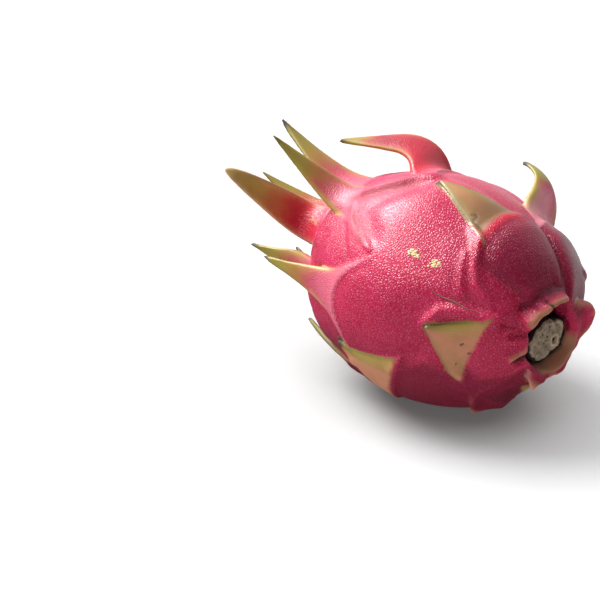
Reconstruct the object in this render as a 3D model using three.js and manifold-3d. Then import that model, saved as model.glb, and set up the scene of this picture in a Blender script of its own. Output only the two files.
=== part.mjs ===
// A whole dragon fruit lying on its side, with the cut end of its woody stem.
// Millimetres, +Z up. The long axis runs along X with the stem end at +X and drooping a little, and
// the origin is the centre of the flat spot that the fruit rests on.

import * as THREE from 'three';
import { mergeVertices } from 'three/addons/utils/BufferGeometryUtils.js';
import Module from 'manifold-3d';

const { degToRad, lerp, smoothstep } = THREE.MathUtils;
const wasm = await Module();
wasm.setup();

// Body: a long ball, lying with the stem end lower than the blossom end
const HALF_LENGTH = 54.8;
const BELLY_RADIUS = 42.8;
const STEM_DROP = degToRad(4.4);
const FLAT_DEPTH = 0.2;
const BODY_SIDES = 60;
const BODY_RINGS = 36;
const RING_CROWDING = 0.4;

// Hollows at the two ends: depth, radius of the floor, and radius where the wall meets the skin,
// which is narrower by pinch on the side at narrowSide
const STEM_PIT = { end: 1, depth: 7.5, floor: 9.2, rim: 13.4, pinch: 2.6, narrowSide: degToRad(210) };
const BLOSSOM_NAVEL = { end: -1, depth: 6, floor: 3, rim: 11, pinch: 0, narrowSide: 0 };

// The skin is drawn in below the stem end, along a path of stations and azimuths
const DENT = { depth: 4.2, width: 7, path: [[49, 140], [47, 158], [46, 178], [47, 200], [49, 225]] };
const DENT_STEPS = 6;

// Stem stub: its cut face and hidden root are stations along the axis. It is wider across than high,
// leans to the side at -Y and has low ridges down its length.
const STUB_RADIUS = 9.7;
const STUB_FLARE = 1.3;
const STUB_LEAN = 0.7;
const STUB_RIDGE = 0.3;
const STUB_RIDGES = 5;
const STUB_FACE = 51.6;
const STUB_ROOT = 41;
const STUB_SIDES = 20;
const STUB_GAP = 0.3;

// Blades of the scales, with the shares of their length where each bend starts and ends
const BLADE_SIDES = 8;
const BLADE_RINGS = 8;
const MIDRIB_STEPS_PER_RING = 6;
const BLADE_THICKNESS = 3.4;
const TIP_THICKNESS = 1.4;
const EDGE_FULLNESS = 0.7;
const ROOT_DEPTH = 7;
const CORNER_DROOP = 1.15;
const LEAST_BASE_BEND = 18;
const TIP_ROUNDING = 1.6;
const DROOP_END = 0.5;
const CORNER_END = 0.6;
const GUTTER_START = 0.2;
const GUTTER_END = 0.8;
const TWIST_START = 0.1;
const TWIST_END = 0.65;
const HOOK_START = 0.86;
const LEAST_BEND = 1e-4;

// Blades that lie on the skin are flatter, and their margins stand a little off it
const LYING_THICKNESS = 0.75;
const LYING_RISE = 0.4;

// Pillows, the swollen bases behind the scales. Each starts with a step at the scale's root, is full
// and fades at shares of its own breadth, and has steep sides.
const PILLOW_STEP = 4;
const PILLOW_STEP_END = 2.4;
const PILLOW_AT_ROOT = 0.6;
const PILLOW_RISE_START = 1;
const PILLOW_FULL = 0.25;
const PILLOW_FADE_START = 0.45;
const PILLOW_FADE_END = 1.15;
const PILLOW_SIDE_POWER = 6;
const PILLOW_END_IN_HOLLOW = 2;

// Form of the scales in each whorl. Slender is the share of the width that a scale keeps towards its
// tip, taper is how fast its broad base narrows, blunt is how full its tip is, pillow is the height of
// its swollen base, rise is the height of the blade's middle above the plain body at its root, and cup
// and inset are how far the base's corners reach to the stem and its middle to the blossom.
const COLLAR = { slender: 0.7, taper: 1.54, blunt: 0.8, pillow: 1, rise: 1.2, cup: 0, inset: 0 };
const LOBE = { ...COLLAR, slender: 0.95, blunt: 0.5 };
const SHOULDER = { slender: 0.55, taper: 1.76, blunt: 0.8, pillow: 3, rise: 0.2, cup: 3, inset: 3 };
const FLAP = { ...SHOULDER, cup: 0, inset: 1.5 };
const HORN = { slender: 0.44, taper: 3, blunt: 0.8, pillow: 2.4, rise: 0, cup: 6, inset: 1 };
const BELT = { slender: 0.24, taper: 4, blunt: 0.8, pillow: 2.8, rise: 0, cup: 13, inset: 0 };
const CROWN = { slender: 0.38, taper: 2.2, blunt: 0.8, pillow: 1.6, rise: 0, cup: 3, inset: 1 };
const CURLED = { ...CROWN, slender: 0.95, blunt: 0.55, cup: 0, inset: 0 };
const SPIKE = { ...HORN, slender: 0.5, taper: 2.4 };
const RIMMED = { ...BELT, slender: 0.25, cup: 21 };
const BROAD = { ...CROWN, slender: 0.46 };

// What a scale does unless it says otherwise. The lift ends and the curl starts and ends at shares of
// the length. Sway turns the whole blade, veer turns it sideways as it curls, twist turns it about its
// middle, hook bends its tip and gutter bends its cross-section. Puff and spread scale its pillow.
const PLAIN = {
  liftEnd: 0.6, curlStart: 0, curlEnd: 1, sway: 0, veer: 0, twist: 0, hook: 0, gutter: 0.02,
  puff: 1, spread: 1, lies: false,
};

// The scales. Station is the root's place along the axis, azimuth is measured from the top towards
// -Y, lift turns the blade away from the skin and curl turns it back, both in degrees.
const SCALES = [
  { ...COLLAR, station: 51.2, azimuth: 18, length: 6.5, width: 25, lift: 62, curl: 0, puff: 0 },
  { ...COLLAR, station: 50.8, azimuth: 87, length: 5, width: 9, lift: 30, curl: 0, puff: 0 },
  { ...COLLAR, station: 52.6, azimuth: 150, length: 7, width: 15, lift: 24, curl: 0, puff: 0 },
  { ...LOBE, station: 53.2, azimuth: 206, length: 5, width: 15, lift: 30, curl: 0, puff: 0 },
  { ...LOBE, station: 53.2, azimuth: 284, length: 12.5, width: 22, lift: 30, curl: 0, puff: 0 },

  { ...SHOULDER, station: 26, azimuth: 5, length: 29, width: 23, lies: true, sway: 2,
    puff: 1.2, spread: 1.72 },
  { ...FLAP, station: 40, azimuth: 88, length: 19.5, width: 28, lies: true, sway: -17, puff: 0.8 },
  { ...FLAP, station: 41.5, azimuth: 148, length: 11.5, width: 30, lift: 14, curl: -10, sway: 6,
    puff: 0.4 },
  { ...SHOULDER, station: 44, azimuth: 212, length: 20, width: 34, lies: true, puff: 0.4 },
  { ...SHOULDER, station: 40, azimuth: 266, length: 30, width: 35, lies: true, puff: 1.1 },
  { ...SPIKE, station: 27, azimuth: 313, length: 37, width: 35, lift: 60, curl: -80, liftEnd: 0.4,
    curlStart: 0.2, hook: -10, gutter: 0.08, veer: 6, twist: -18, puff: 2 },

  { ...FLAP, station: 11, azimuth: 123, length: 28, width: 34, lies: true, sway: -19, puff: 0.6,
    spread: 1.1 },
  { ...SHOULDER, station: 20, azimuth: 232, length: 32, width: 38, lies: true, puff: 0.8 },
  { ...SHOULDER, station: 10, azimuth: 276, length: 40, width: 42, lift: 24, curl: -44 },

  { ...HORN, station: -14, azimuth: -20, length: 48, width: 36, lift: 54, curl: -62, liftEnd: 0.25,
    curlStart: 0.15, curlEnd: 0.6, veer: 35, twist: -40, puff: 0.3 },
  { ...RIMMED, station: -28, azimuth: 29, length: 47, width: 41, lift: 69, curl: -6, liftEnd: 0.5,
    hook: 8, spread: 1.2 },
  { ...BELT, station: -18, azimuth: 84, length: 40, width: 40, lift: 30, curl: -18, puff: 0.8,
    spread: 1.15 },
  { ...BELT, station: -16, azimuth: 138, length: 32, width: 40, lift: 12, curl: -20, puff: 0.4,
    spread: 1.15 },
  { ...BELT, station: -24, azimuth: 190, length: 28, width: 38, lift: 8, curl: -20, puff: 0.4,
    spread: 1.15 },
  { ...BELT, station: -18, azimuth: 238, length: 36, width: 40, lift: 20, curl: -20, puff: 0.7,
    spread: 1.15 },
  { ...BELT, station: -22, azimuth: 290, length: 44, width: 42, lift: 42, curl: -20, spread: 1.15 },

  { ...BROAD, station: -36, azimuth: 4, length: 54, width: 28, lift: 60, curl: 0, liftEnd: 0.5,
    hook: 10, puff: 0.3 },
  { ...CROWN, station: -46, azimuth: 29, length: 45, width: 22, lift: 76, curl: 0 },
  { ...CURLED, station: -46, azimuth: 49, length: 58, width: 17, lift: 122, curl: -14, curlStart: 0.5,
    hook: -30, gutter: -0.1 },
  { ...CROWN, station: -40, azimuth: 104, length: 44, width: 28, lift: 42, curl: 0 },
  { ...CROWN, station: -42, azimuth: 156, length: 36, width: 26, lift: 18, curl: 0, puff: 0.5 },
  { ...CROWN, station: -42, azimuth: 214, length: 38, width: 26, lift: 22, curl: 0, puff: 0.5 },
  { ...CROWN, station: -40, azimuth: 264, length: 46, width: 28, lift: 46, curl: 0 },
  { ...CROWN, station: -38, azimuth: 318, length: 46, width: 30, lift: 48, curl: 0 },
  { ...CROWN, station: -52, azimuth: 86, length: 24, width: 14, lift: 20, curl: 10 },
  { ...CROWN, station: -52, azimuth: 182, length: 22, width: 14, lift: 15, curl: 10 },
  { ...CROWN, station: -52, azimuth: 290, length: 26, width: 14, lift: 25, curl: 10 },
].map((scale) => ({ ...PLAIN, ...scale }));

// The lowest point of the leaning body, measured in the fruit's own frame turned to the floor
const LOWEST = Math.hypot(BELLY_RADIUS * Math.cos(STEM_DROP), HALF_LENGTH * Math.sin(STEM_DROP));
const LOWEST_X = (HALF_LENGTH ** 2 - BELLY_RADIUS ** 2) * Math.sin(STEM_DROP) * Math.cos(STEM_DROP) / LOWEST;
const lying = new THREE.Matrix4()
  .makeTranslation(-LOWEST_X, 0, LOWEST - FLAT_DEPTH)
  .multiply(new THREE.Matrix4().makeRotationY(STEM_DROP));

const FLESH = new THREE.MeshStandardMaterial({ color: 0xc02a5c, roughness: 0.55, metalness: 0 });
const CORK = new THREE.MeshStandardMaterial({ color: 0x8a7866, roughness: 0.9, metalness: 0 });

/** Radius of the plain body at a station along the axis. */
function radiusAt(x) {
  return BELLY_RADIUS * Math.sqrt(Math.max(0, 1 - (x / HALF_LENGTH) ** 2));
}

/** Point and directions on the plain body: out of the skin, to the blossom end and round the axis. */
function skinFrame(station, azimuth) {
  const radius = radiusAt(station);
  const slope = -(BELLY_RADIUS ** 2) * station / (HALF_LENGTH ** 2 * radius);
  const radial = new THREE.Vector3(0, -Math.sin(azimuth), Math.cos(azimuth));
  const axial = new THREE.Vector3(1, 0, 0);
  return {
    point: radial.clone().multiplyScalar(radius).setX(station),
    outward: radial.clone().addScaledVector(axial, -slope).normalize(),
    toBlossom: axial.clone().addScaledVector(radial, slope).normalize().negate(),
    around: new THREE.Vector3(0, -Math.cos(azimuth), -Math.sin(azimuth)),
    steepness: Math.hypot(1, slope),
  };
}

/** A point of the plain body at a station and azimuth. */
function plainPoint(x, azimuth) {
  const radius = radiusAt(x);
  return new THREE.Vector3(x, -radius * Math.sin(azimuth), radius * Math.cos(azimuth));
}

/** Direction out of the plain body at one of its points. */
function outwardAt(point) {
  return new THREE.Vector3(
    point.x / HALF_LENGTH ** 2, point.y / BELLY_RADIUS ** 2, point.z / BELLY_RADIUS ** 2,
  ).normalize();
}

/** Height that a scale's swollen base adds to the body at a station and azimuth. */
function pillowHeight(scale, x, azimuth) {
  const { steepness } = skinFrame(scale.station, 0);
  const breadth = scale.width * scale.spread;
  const turn = azimuth - degToRad(scale.azimuth);
  const beside = radiusAt(scale.station) * Math.atan2(Math.sin(turn), Math.cos(turn));
  const across = Math.min(1, Math.abs(2 * beside / breadth));
  const behind = (x - scale.station) * steepness + scale.inset * (1 - across ** 2) - scale.cup * across ** 2;
  const swell = lerp(PILLOW_AT_ROOT, 1, smoothstep(behind, PILLOW_RISE_START, PILLOW_FULL * breadth));
  const fade = 1 - smoothstep(behind, PILLOW_FADE_START * breadth, PILLOW_FADE_END * breadth);
  const step = smoothstep(behind, -PILLOW_STEP, PILLOW_STEP_END);
  return scale.pillow * scale.puff * (1 - across ** PILLOW_SIDE_POWER) * swell * fade * step;
}

/** Depth of the dent below the stem end at a point of the plain body. */
function dentDepth(point) {
  let least = Infinity;
  for (let leg = 0; leg < DENT.path.length - 1; leg += 1) {
    for (let step = 0; step <= DENT_STEPS; step += 1) {
      const share = step / DENT_STEPS;
      const x = lerp(DENT.path[leg][0], DENT.path[leg + 1][0], share);
      const azimuth = degToRad(lerp(DENT.path[leg][1], DENT.path[leg + 1][1], share));
      least = Math.min(least, point.distanceTo(plainPoint(x, azimuth)));
    }
  }
  return DENT.depth * Math.exp(-((least / DENT.width) ** 2));
}

/** Height of the skin above the plain body, without the pillow of one scale where one is given. */
function skinHeight(x, azimuth, without) {
  const pillows = SCALES.filter((scale) => scale !== without).map((scale) => pillowHeight(scale, x, azimuth));
  return Math.max(0, ...pillows) - dentDepth(plainPoint(x, azimuth));
}

/** Depth of an end hollow at a distance from the axis and an azimuth. */
function hollowDepth(hollow, distance, azimuth) {
  const rim = hollow.rim - hollow.pinch * Math.cos(azimuth - hollow.narrowSide);
  return hollow.depth * (1 - smoothstep(distance, hollow.floor, rim));
}

/** The body: a ball drawn out along X, raised under each scale and hollowed at both ends. */
function bodyGeometry() {
  const geometry = new THREE.SphereGeometry(1, BODY_SIDES, BODY_RINGS).rotateZ(-Math.PI / 2);
  const position = geometry.getAttribute('position');
  for (let i = 0; i < position.count; i += 1) {
    const azimuth = Math.atan2(-position.getY(i), position.getZ(i));
    const even = Math.acos(THREE.MathUtils.clamp(position.getX(i), -1, 1));
    const polar = even - 0.5 * RING_CROWDING * Math.sin(2 * even);
    const point = plainPoint(HALF_LENGTH * Math.cos(polar), azimuth);
    const hollow = point.x > 0 ? STEM_PIT : BLOSSOM_NAVEL;
    const depth = hollowDepth(hollow, Math.hypot(point.y, point.z), azimuth);
    const height = skinHeight(point.x, azimuth) * (1 - smoothstep(depth, 0, PILLOW_END_IN_HOLLOW));
    point.addScaledVector(outwardAt(point), height);
    point.x -= hollow.end * depth;
    position.setXYZ(i, point.x, point.y, point.z);
  }
  return geometry;
}

/** Half the width of a blade at a share of its length. */
function halfWidth(scale, along) {
  const base = (1 - scale.slender) * (1 - along) ** scale.taper;
  const tip = scale.slender * (1 - along ** TIP_ROUNDING) ** scale.blunt;
  return 0.5 * scale.width * (base + tip);
}

/** Points and directions along the middle of a blade, one for each ring from the root to the tip. */
function midribFrames(scale) {
  const skin = skinFrame(scale.station, degToRad(scale.azimuth));
  const heading = skin.toBlossom.clone().multiplyScalar(Math.cos(degToRad(scale.sway)))
    .addScaledVector(skin.around, Math.sin(degToRad(scale.sway)));
  const steps = (BLADE_RINGS - 1) * MIDRIB_STEPS_PER_RING;
  const point = skin.point.clone().addScaledVector(skin.outward, scale.rise);
  const frames = [];
  for (let step = 0; step <= steps; step += 1) {
    const along = Math.min(1, (step + 0.5) / steps);
    const curling = smoothstep(along, scale.curlStart, scale.curlEnd);
    const angle = degToRad(scale.lift * smoothstep(along, 0, scale.liftEnd) + scale.curl * curling
      + scale.hook * smoothstep(along, HOOK_START, 1));
    const straight = heading.clone().multiplyScalar(Math.cos(angle))
      .addScaledVector(skin.outward, Math.sin(angle));
    const upright = skin.outward.clone().multiplyScalar(Math.cos(angle))
      .addScaledVector(heading, -Math.sin(angle));
    const forward = straight.applyAxisAngle(upright, degToRad(scale.veer) * curling);
    if (step % MIDRIB_STEPS_PER_RING === 0) {
      const turn = degToRad(scale.twist) * smoothstep(step / steps, TWIST_START, TWIST_END);
      const side = new THREE.Vector3().crossVectors(upright, forward).applyAxisAngle(forward, -turn);
      const normal = new THREE.Vector3().crossVectors(forward, side);
      frames.push({ point: point.clone(), forward, side, normal });
    }
    point.addScaledVector(forward, scale.length / steps);
  }
  return frames;
}

/** Stations and azimuths along the middle of a blade that lies on the skin, one for each ring. */
function lyingPath(scale) {
  const sway = degToRad(scale.sway);
  const steps = (BLADE_RINGS - 1) * MIDRIB_STEPS_PER_RING;
  const path = [];
  let x = scale.station;
  let azimuth = degToRad(scale.azimuth);
  for (let step = 0; step <= steps; step += 1) {
    if (step % MIDRIB_STEPS_PER_RING === 0) {
      path.push({ x, azimuth });
    }
    x -= Math.cos(sway) * scale.length / steps / skinFrame(x, azimuth).steepness;
    azimuth += Math.sin(sway) * scale.length / steps / radiusAt(x);
  }
  return path;
}

/** A point of a blade that lies on the skin, at a share of its half width and a height over its middle. */
function lyingPoint(scale, middle, along, share, rise) {
  const sway = degToRad(scale.sway);
  const across = halfWidth(scale, along) * share;
  const corner = scale.cup * (1 - smoothstep(along, 0, CORNER_END)) * (2 * across / scale.width) ** 2;
  const x = middle.x + (Math.sin(sway) * across + corner) / skinFrame(middle.x, 0).steepness;
  const azimuth = middle.azimuth + Math.cos(sway) * across / radiusAt(x);
  const point = plainPoint(x, azimuth);
  const height = skinHeight(x, azimuth, scale) + LYING_RISE + LYING_THICKNESS * rise;
  return point.addScaledVector(outwardAt(point), height);
}

/** A point of a blade that stands off the skin, at a share of its half width and a height over its middle. */
function standingPoint(scale, frame, along, share, rise) {
  const across = halfWidth(scale, along) * share;
  const baseBend = CORNER_DROOP / Math.max(LEAST_BASE_BEND, radiusAt(scale.station));
  const bend = baseBend * (1 - smoothstep(along, 0, DROOP_END))
    + scale.gutter * smoothstep(along, GUTTER_START, GUTTER_END) + LEAST_BEND;
  const corner = scale.cup * (1 - smoothstep(along, 0, CORNER_END)) * share ** 2;
  return frame.point.clone()
    .addScaledVector(frame.side, Math.sin(across * bend) / bend)
    .addScaledVector(frame.normal, rise - (1 - Math.cos(across * bend)) / bend)
    .addScaledVector(frame.forward, -corner);
}

/** One scale: a ball flattened to a blade, with its root pole sunk in the flesh. */
function scaleGeometry(scale) {
  const skin = skinFrame(scale.station, degToRad(scale.azimuth));
  const root = skin.point.clone().addScaledVector(skin.outward, -ROOT_DEPTH);
  const middles = scale.lies ? lyingPath(scale) : midribFrames(scale);
  const place = scale.lies ? lyingPoint : standingPoint;
  const geometry = new THREE.SphereGeometry(1, BLADE_SIDES, BLADE_RINGS);
  const position = geometry.getAttribute('position');
  for (let i = 0; i < position.count; i += 1) {
    const polar = Math.acos(THREE.MathUtils.clamp(position.getY(i), -1, 1));
    const ring = Math.round(polar / Math.PI * BLADE_RINGS);
    const angle = Math.atan2(position.getZ(i), position.getX(i));
    const along = Math.max(0, (ring - 1) / (BLADE_RINGS - 1));
    const thickness = lerp(BLADE_THICKNESS, TIP_THICKNESS, along) * (ring < BLADE_RINGS ? 1 : 0);
    const rise = 0.5 * thickness * Math.sign(Math.sin(angle)) * Math.abs(Math.sin(angle)) ** EDGE_FULLNESS;
    const vertex = ring === 0 ? root : place(scale, middles[ring - 1], along, Math.cos(angle), rise);
    position.setXYZ(i, vertex.x, vertex.y, vertex.z);
  }
  return geometry;
}

/** The stub's outline: a rounded polygon, wider where the wood was thicker. */
function stubGeometry(gap) {
  const length = STUB_FACE - STUB_ROOT + 2 * gap;
  const geometry = new THREE.CylinderGeometry(STUB_RADIUS + gap, STUB_RADIUS + gap, length, STUB_SIDES);
  const position = geometry.getAttribute('position');
  for (let i = 0; i < position.count; i += 1) {
    const turn = Math.atan2(position.getZ(i), position.getX(i));
    const swell = STUB_FLARE * Math.cos(2 * turn) + STUB_LEAN * Math.cos(turn)
      + STUB_RIDGE * Math.cos(STUB_RIDGES * turn);
    position.setX(i, position.getX(i) * (1 + swell / STUB_RADIUS));
    position.setZ(i, position.getZ(i) * (1 + swell / STUB_RADIUS));
  }
  return geometry.rotateZ(-Math.PI / 2).translate((STUB_FACE + STUB_ROOT) / 2, 0, 0);
}

/** A solid from a closed geometry in the fruit's frame, placed as the fruit lies. */
function lyingSolid(geometry) {
  return solid(geometry.applyMatrix4(lying));
}

/** A solid for joining and cutting, from a closed geometry. */
function solid(geometry) {
  geometry.deleteAttribute('normal');
  geometry.deleteAttribute('uv');
  const merged = mergeVertices(geometry, 1e-4);
  const vertProperties = new Float32Array(merged.getAttribute('position').array);
  const triVerts = new Uint32Array(merged.index.array);
  return new wasm.Manifold(new wasm.Mesh({ numProp: 3, vertProperties, triVerts }));
}

/** The main body of a fused solid: hollows that fusing sealed are filled and loose scraps are dropped. */
function mainBody(shape) {
  return shape.decompose().reduce((main, piece) => (piece.volume() > main.volume() ? piece : main));
}

/** A named mesh from a solid. */
function meshOf(name, shape, material) {
  const { vertProperties, triVerts } = shape.getMesh();
  const geometry = new THREE.BufferGeometry();
  geometry.setAttribute('position', new THREE.BufferAttribute(vertProperties, 3));
  geometry.setIndex(new THREE.BufferAttribute(triVerts, 1));
  geometry.computeVertexNormals();
  const mesh = new THREE.Mesh(geometry, material);
  mesh.name = name;
  return mesh;
}

// The fruit: body and scales grown together, with the stub's socket and the pressed flat spot cut away,
// and folds smaller than LEAST_FOLD smoothed over
const LEAST_FOLD = 0.05;
const FLOOR_SIDE = 400;
const FLOOR = new THREE.BoxGeometry(FLOOR_SIDE, FLOOR_SIDE, FLOOR_SIDE).translate(0, 0, -FLOOR_SIDE / 2);
let flesh = lyingSolid(bodyGeometry());
for (const scale of SCALES) {
  flesh = flesh.add(lyingSolid(scaleGeometry(scale)));
}
flesh = mainBody(mainBody(flesh).subtract(lyingSolid(stubGeometry(STUB_GAP))).subtract(solid(FLOOR)));
flesh = flesh.simplify(LEAST_FOLD);

const fruit = new THREE.Group();
fruit.name = 'dragon_fruit';
fruit.add(meshOf('fruit', flesh, FLESH));
fruit.add(meshOf('stem_stub', lyingSolid(stubGeometry(0)), CORK));

export default fruit;
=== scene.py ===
"""Looks of a whole dragon fruit lying on its side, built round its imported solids.

The fruit's own frame has its long axis on X with the stem end at +X, and azimuths run from the top
towards -Y. Shapes are worked out in millimetres and handed over in metres.
"""

import logging
import math
from dataclasses import dataclass, replace
from enum import Enum
from typing import ClassVar

import bmesh
import bpy
import numpy as np
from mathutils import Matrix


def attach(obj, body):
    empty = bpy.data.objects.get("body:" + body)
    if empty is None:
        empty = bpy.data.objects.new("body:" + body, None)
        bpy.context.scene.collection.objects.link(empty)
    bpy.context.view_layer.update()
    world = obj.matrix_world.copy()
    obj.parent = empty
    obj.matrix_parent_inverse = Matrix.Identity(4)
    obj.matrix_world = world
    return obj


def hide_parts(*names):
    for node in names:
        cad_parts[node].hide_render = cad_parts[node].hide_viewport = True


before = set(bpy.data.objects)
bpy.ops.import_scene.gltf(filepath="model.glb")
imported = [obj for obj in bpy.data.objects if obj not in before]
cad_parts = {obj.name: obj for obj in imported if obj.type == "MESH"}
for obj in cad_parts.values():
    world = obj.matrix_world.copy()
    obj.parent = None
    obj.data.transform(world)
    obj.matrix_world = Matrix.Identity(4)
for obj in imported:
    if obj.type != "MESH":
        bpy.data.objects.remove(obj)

import openvdb
from mathutils import Vector
from mathutils.bvhtree import BVHTree
from mathutils.kdtree import KDTree

LOG = logging.getLogger("dragon_fruit")
MM = 0.001
Array = np.ndarray
Piece = bpy.types.Object
Mesh = bpy.types.Mesh
Material = bpy.types.Material
Node = bpy.types.Node
Socket = bpy.types.NodeSocket
Colour = tuple[float, float, float]
Range = tuple[float, float]
Path = tuple[tuple[float, float], ...]
WAVES = 9
WAVE_SPAN = (0.7, 1.4)


def smooth(low: float, high: float, value: Array | float) -> Array | float:
    """Smooth step from 0 at low to 1 at high, also where low is the larger of the two.

    Args:
        low: Value where the step starts.
        high: Value where the step ends.
        value: Where to read it.

    Returns:
        The step's height at each value.
    """
    share = np.clip((value - low) / (high - low), 0.0, 1.0)
    return share * share * (3.0 - 2.0 * share)


def soft_min(one: Array, other: Array, reach: Array | float) -> Array:
    """Lower of two fields, rounded where they come within reach of each other.

    Args:
        one: First field.
        other: Second field.
        reach: Difference below which the two melt together.

    Returns:
        The joined field.
    """
    near = np.maximum(reach - np.abs(one - other), 0.0) / reach
    return np.minimum(one, other) - near * near * reach * 0.25


def ripples(points: Array, wavelength: float, seed: int) -> Array:
    """Gentle random swell made of plane waves, about -1 to 1.

    Args:
        points: Places to read it, one row each.
        wavelength: Mean length of the waves, in the units of the points.
        seed: Seed of the waves' directions and phases.

    Returns:
        One value for each point.
    """
    draw = np.random.default_rng(seed)
    total = np.zeros(len(points))
    for _ in range(WAVES):
        heading = draw.normal(size=3)
        heading /= np.linalg.norm(heading)
        length = wavelength * draw.uniform(*WAVE_SPAN)
        total += np.sin(points @ heading * (2 * math.pi / length) + draw.uniform(0, 2 * math.pi))
    return total / math.sqrt(WAVES)


def on_body(x: Array, azimuth: Array) -> Array:
    """Points of the plain body at stations and azimuths in radians, in the fruit's own frame."""
    radius = LIE.radius(x)
    return np.stack([x, -radius * np.sin(azimuth), radius * np.cos(azimuth)], -1)


def body_normals(surface: Array) -> Array:
    """Directions out of the plain body at points on it."""
    normal = surface / [LIE.half_length**2, LIE.belly_radius**2, LIE.belly_radius**2]
    return normal / np.linalg.norm(normal, axis=-1)[..., None]


def drawn_through(path: Path, count: int) -> tuple[Array, Array]:
    """Points along a path, evenly shared among its stretches.

    Args:
        path: Stations and azimuths of the path's corners.
        count: Number of points.

    Returns:
        The points' stations and azimuths.
    """
    corners = np.array(path, dtype=float)
    steps = np.linspace(0.0, len(corners) - 1, count)
    return tuple(np.interp(steps, np.arange(len(corners)), column) for column in corners.T)


def shell_quads(rings: int, sides: int) -> Array:
    """Faces of a shell of rings, whose ends are closed by two more points after those of the rings.

    Args:
        rings: Number of rings.
        sides: Number of points in a ring.

    Returns:
        The faces, a row of four points each. Those at the ends are triangles that name a point twice.
    """
    here = np.arange(sides)
    there = (here + 1) % sides
    near = np.arange(rings - 1)[:, None] * sides
    far = near + sides
    walls = np.stack([near + here, far + here, far + there, near + there], -1).reshape(-1, 4)
    first = np.full(sides, rings * sides)
    last = (rings - 1) * sides
    start = np.stack([here, there, first, first], -1)
    end = np.stack([last + there, last + here, first + 1, first + 1], -1)
    return np.vstack([walls, start, end]).astype(np.uint32)


def placed(name: str, points: object, edges: object = (), faces: object = ()) -> Piece:
    """New mesh object of a name, standing in the scene.

    Args:
        name: Name of the object and its mesh.
        points: Points in metres.
        edges: Pairs of points, where the mesh has no faces.
        faces: Faces as rows of points.

    Returns:
        The object, at the origin.
    """
    mesh = bpy.data.meshes.new(name)
    mesh.from_pydata(points, edges, faces)
    piece = bpy.data.objects.new(name, mesh)
    bpy.context.collection.objects.link(piece)
    return piece


@dataclass(frozen=True)
class Colouring:
    """How a scale is coloured, in shares.

    Green starts and is full at shares of the length, and margins is how green the sides are. tan is how
    brown the green is, blush how red the middle is, rim how pale the edge is, or how dark below 0, dry
    how dark the tip is, inside how pale the inner face is, lit_cheek how pale one side of the base is
    painted, as painted light, and root how brown the root is, partly its own brown and partly painted
    shade where a lying scale curves down. lower and upper are how little of the tan reaches the sides of
    lower and of higher azimuth, shade is how dark the first of them is, glow how bright a red the base
    is, partly its own red and partly a painted glow of light through the thin blade, and light how little
    the green darkens towards the tip.
    """

    green_from: float
    green_full: float
    margins: float = 0.0
    tan: float = 0.0
    blush: float = 0.0
    rim: float = 0.0
    dry: float = 1.0
    inside: float = 0.0
    lit_cheek: float = 0.0
    root: float = 0.0
    lower: float = 0.0
    upper: float = 0.0
    shade: float = 0.0
    glow: float = 0.0
    light: float = 0.0


class Tint(Enum):
    """The kinds of colouring."""

    COLLAR = Colouring(0.35, 0.95, tan=0.9, rim=0.3, dry=0.0)
    TAN = Colouring(0.02, 0.10, tan=0.95, rim=-0.5, lower=0.8, shade=0.15)
    OLIVE = Colouring(0.02, 0.12, tan=0.75, rim=-0.4, root=0.9, lower=0.85, upper=0.85, shade=0.85)
    ROSE = Colouring(0.7, 1.0, tan=0.6, rim=0.1, dry=0.0)
    LEAF = Colouring(0.30, 0.70, margins=0.8, tan=0.05, blush=0.12, inside=0.3)
    FLAME = Colouring(0.55, 0.88, margins=0.7, tan=0.1, blush=0.8, inside=0.3, glow=0.85, light=0.3)
    SPUR = Colouring(0.50, 0.72, margins=0.9, inside=0.6, lit_cheek=0.9)
    GUTTER = Colouring(0.25, 0.70, margins=1.0, tan=0.25, blush=0.25, rim=0.7, dry=0.2, glow=0.9, light=1.0)
    LIP = Colouring(0.86, 1.0, margins=0.6, tan=0.95, rim=0.5, dry=0.0)


@dataclass(frozen=True)
class Form:
    """Form of the scales in one whorl.

    slender is the share of the width kept towards the tip, taper is how fast the broad base narrows,
    blunt is how full the tip is, pillow is the height of the swollen base, rise is the height of the
    blade's middle at its root, and cup and inset are how far the base's corners reach towards the
    stem and its middle towards the blossom.
    """

    slender: float
    taper: float
    pillow: float
    rise: float
    blunt: float = 0.8
    cup: float = 0.0
    inset: float = 0.0


class Kind(Enum):
    """The forms that the scales have."""

    COLLAR = Form(slender=0.7, taper=1.54, pillow=1.0, rise=1.2)
    LOBE = Form(slender=0.95, taper=1.5, pillow=1.0, rise=1.2, blunt=0.5)
    SHOULDER = Form(slender=0.55, taper=1.76, pillow=3.0, rise=0.2, cup=3.0, inset=3.0)
    HORN = Form(slender=0.44, taper=3.0, pillow=2.4, rise=0.0, cup=6.0, inset=1.0)
    FLAP = Form(slender=0.55, taper=1.76, pillow=3.0, rise=0.2, inset=1.5)
    BELT = Form(slender=0.24, taper=4.0, pillow=2.8, rise=0.0, cup=13.0)
    CROWN = Form(slender=0.38, taper=2.2, pillow=1.6, rise=0.0, cup=3.0, inset=1.0)
    CURLED = Form(slender=0.95, taper=2.2, pillow=1.6, rise=0.0, blunt=0.55)
    SPIKE = Form(slender=0.5, taper=2.4, pillow=2.4, rise=0.0, cup=6.0, inset=1.0)
    RIMMED = Form(slender=0.25, taper=4.0, pillow=2.8, rise=0.0, cup=21.0)
    BROAD = Form(slender=0.46, taper=2.2, pillow=1.6, rise=0.0, cup=3.0, inset=1.0)


@dataclass(frozen=True)
class Pillow:
    """Shape of every scale's swollen base, along the skin from its root towards the stem.

    at_root is the share of its height that it has at its root, and squareness is how steep its sides
    are. step is where its front rises and crest_from where it swells on, in millimetres. crest and fade
    are where it is full and where it dies away, in shares of its breadth.
    """

    at_root: float = 0.6
    squareness: int = 6
    step: Range = (-4.0, 2.4)
    crest_from: float = 1.0
    crest: float = 0.25
    fade: Range = (0.45, 1.15)


PILLOW = Pillow()


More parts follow.
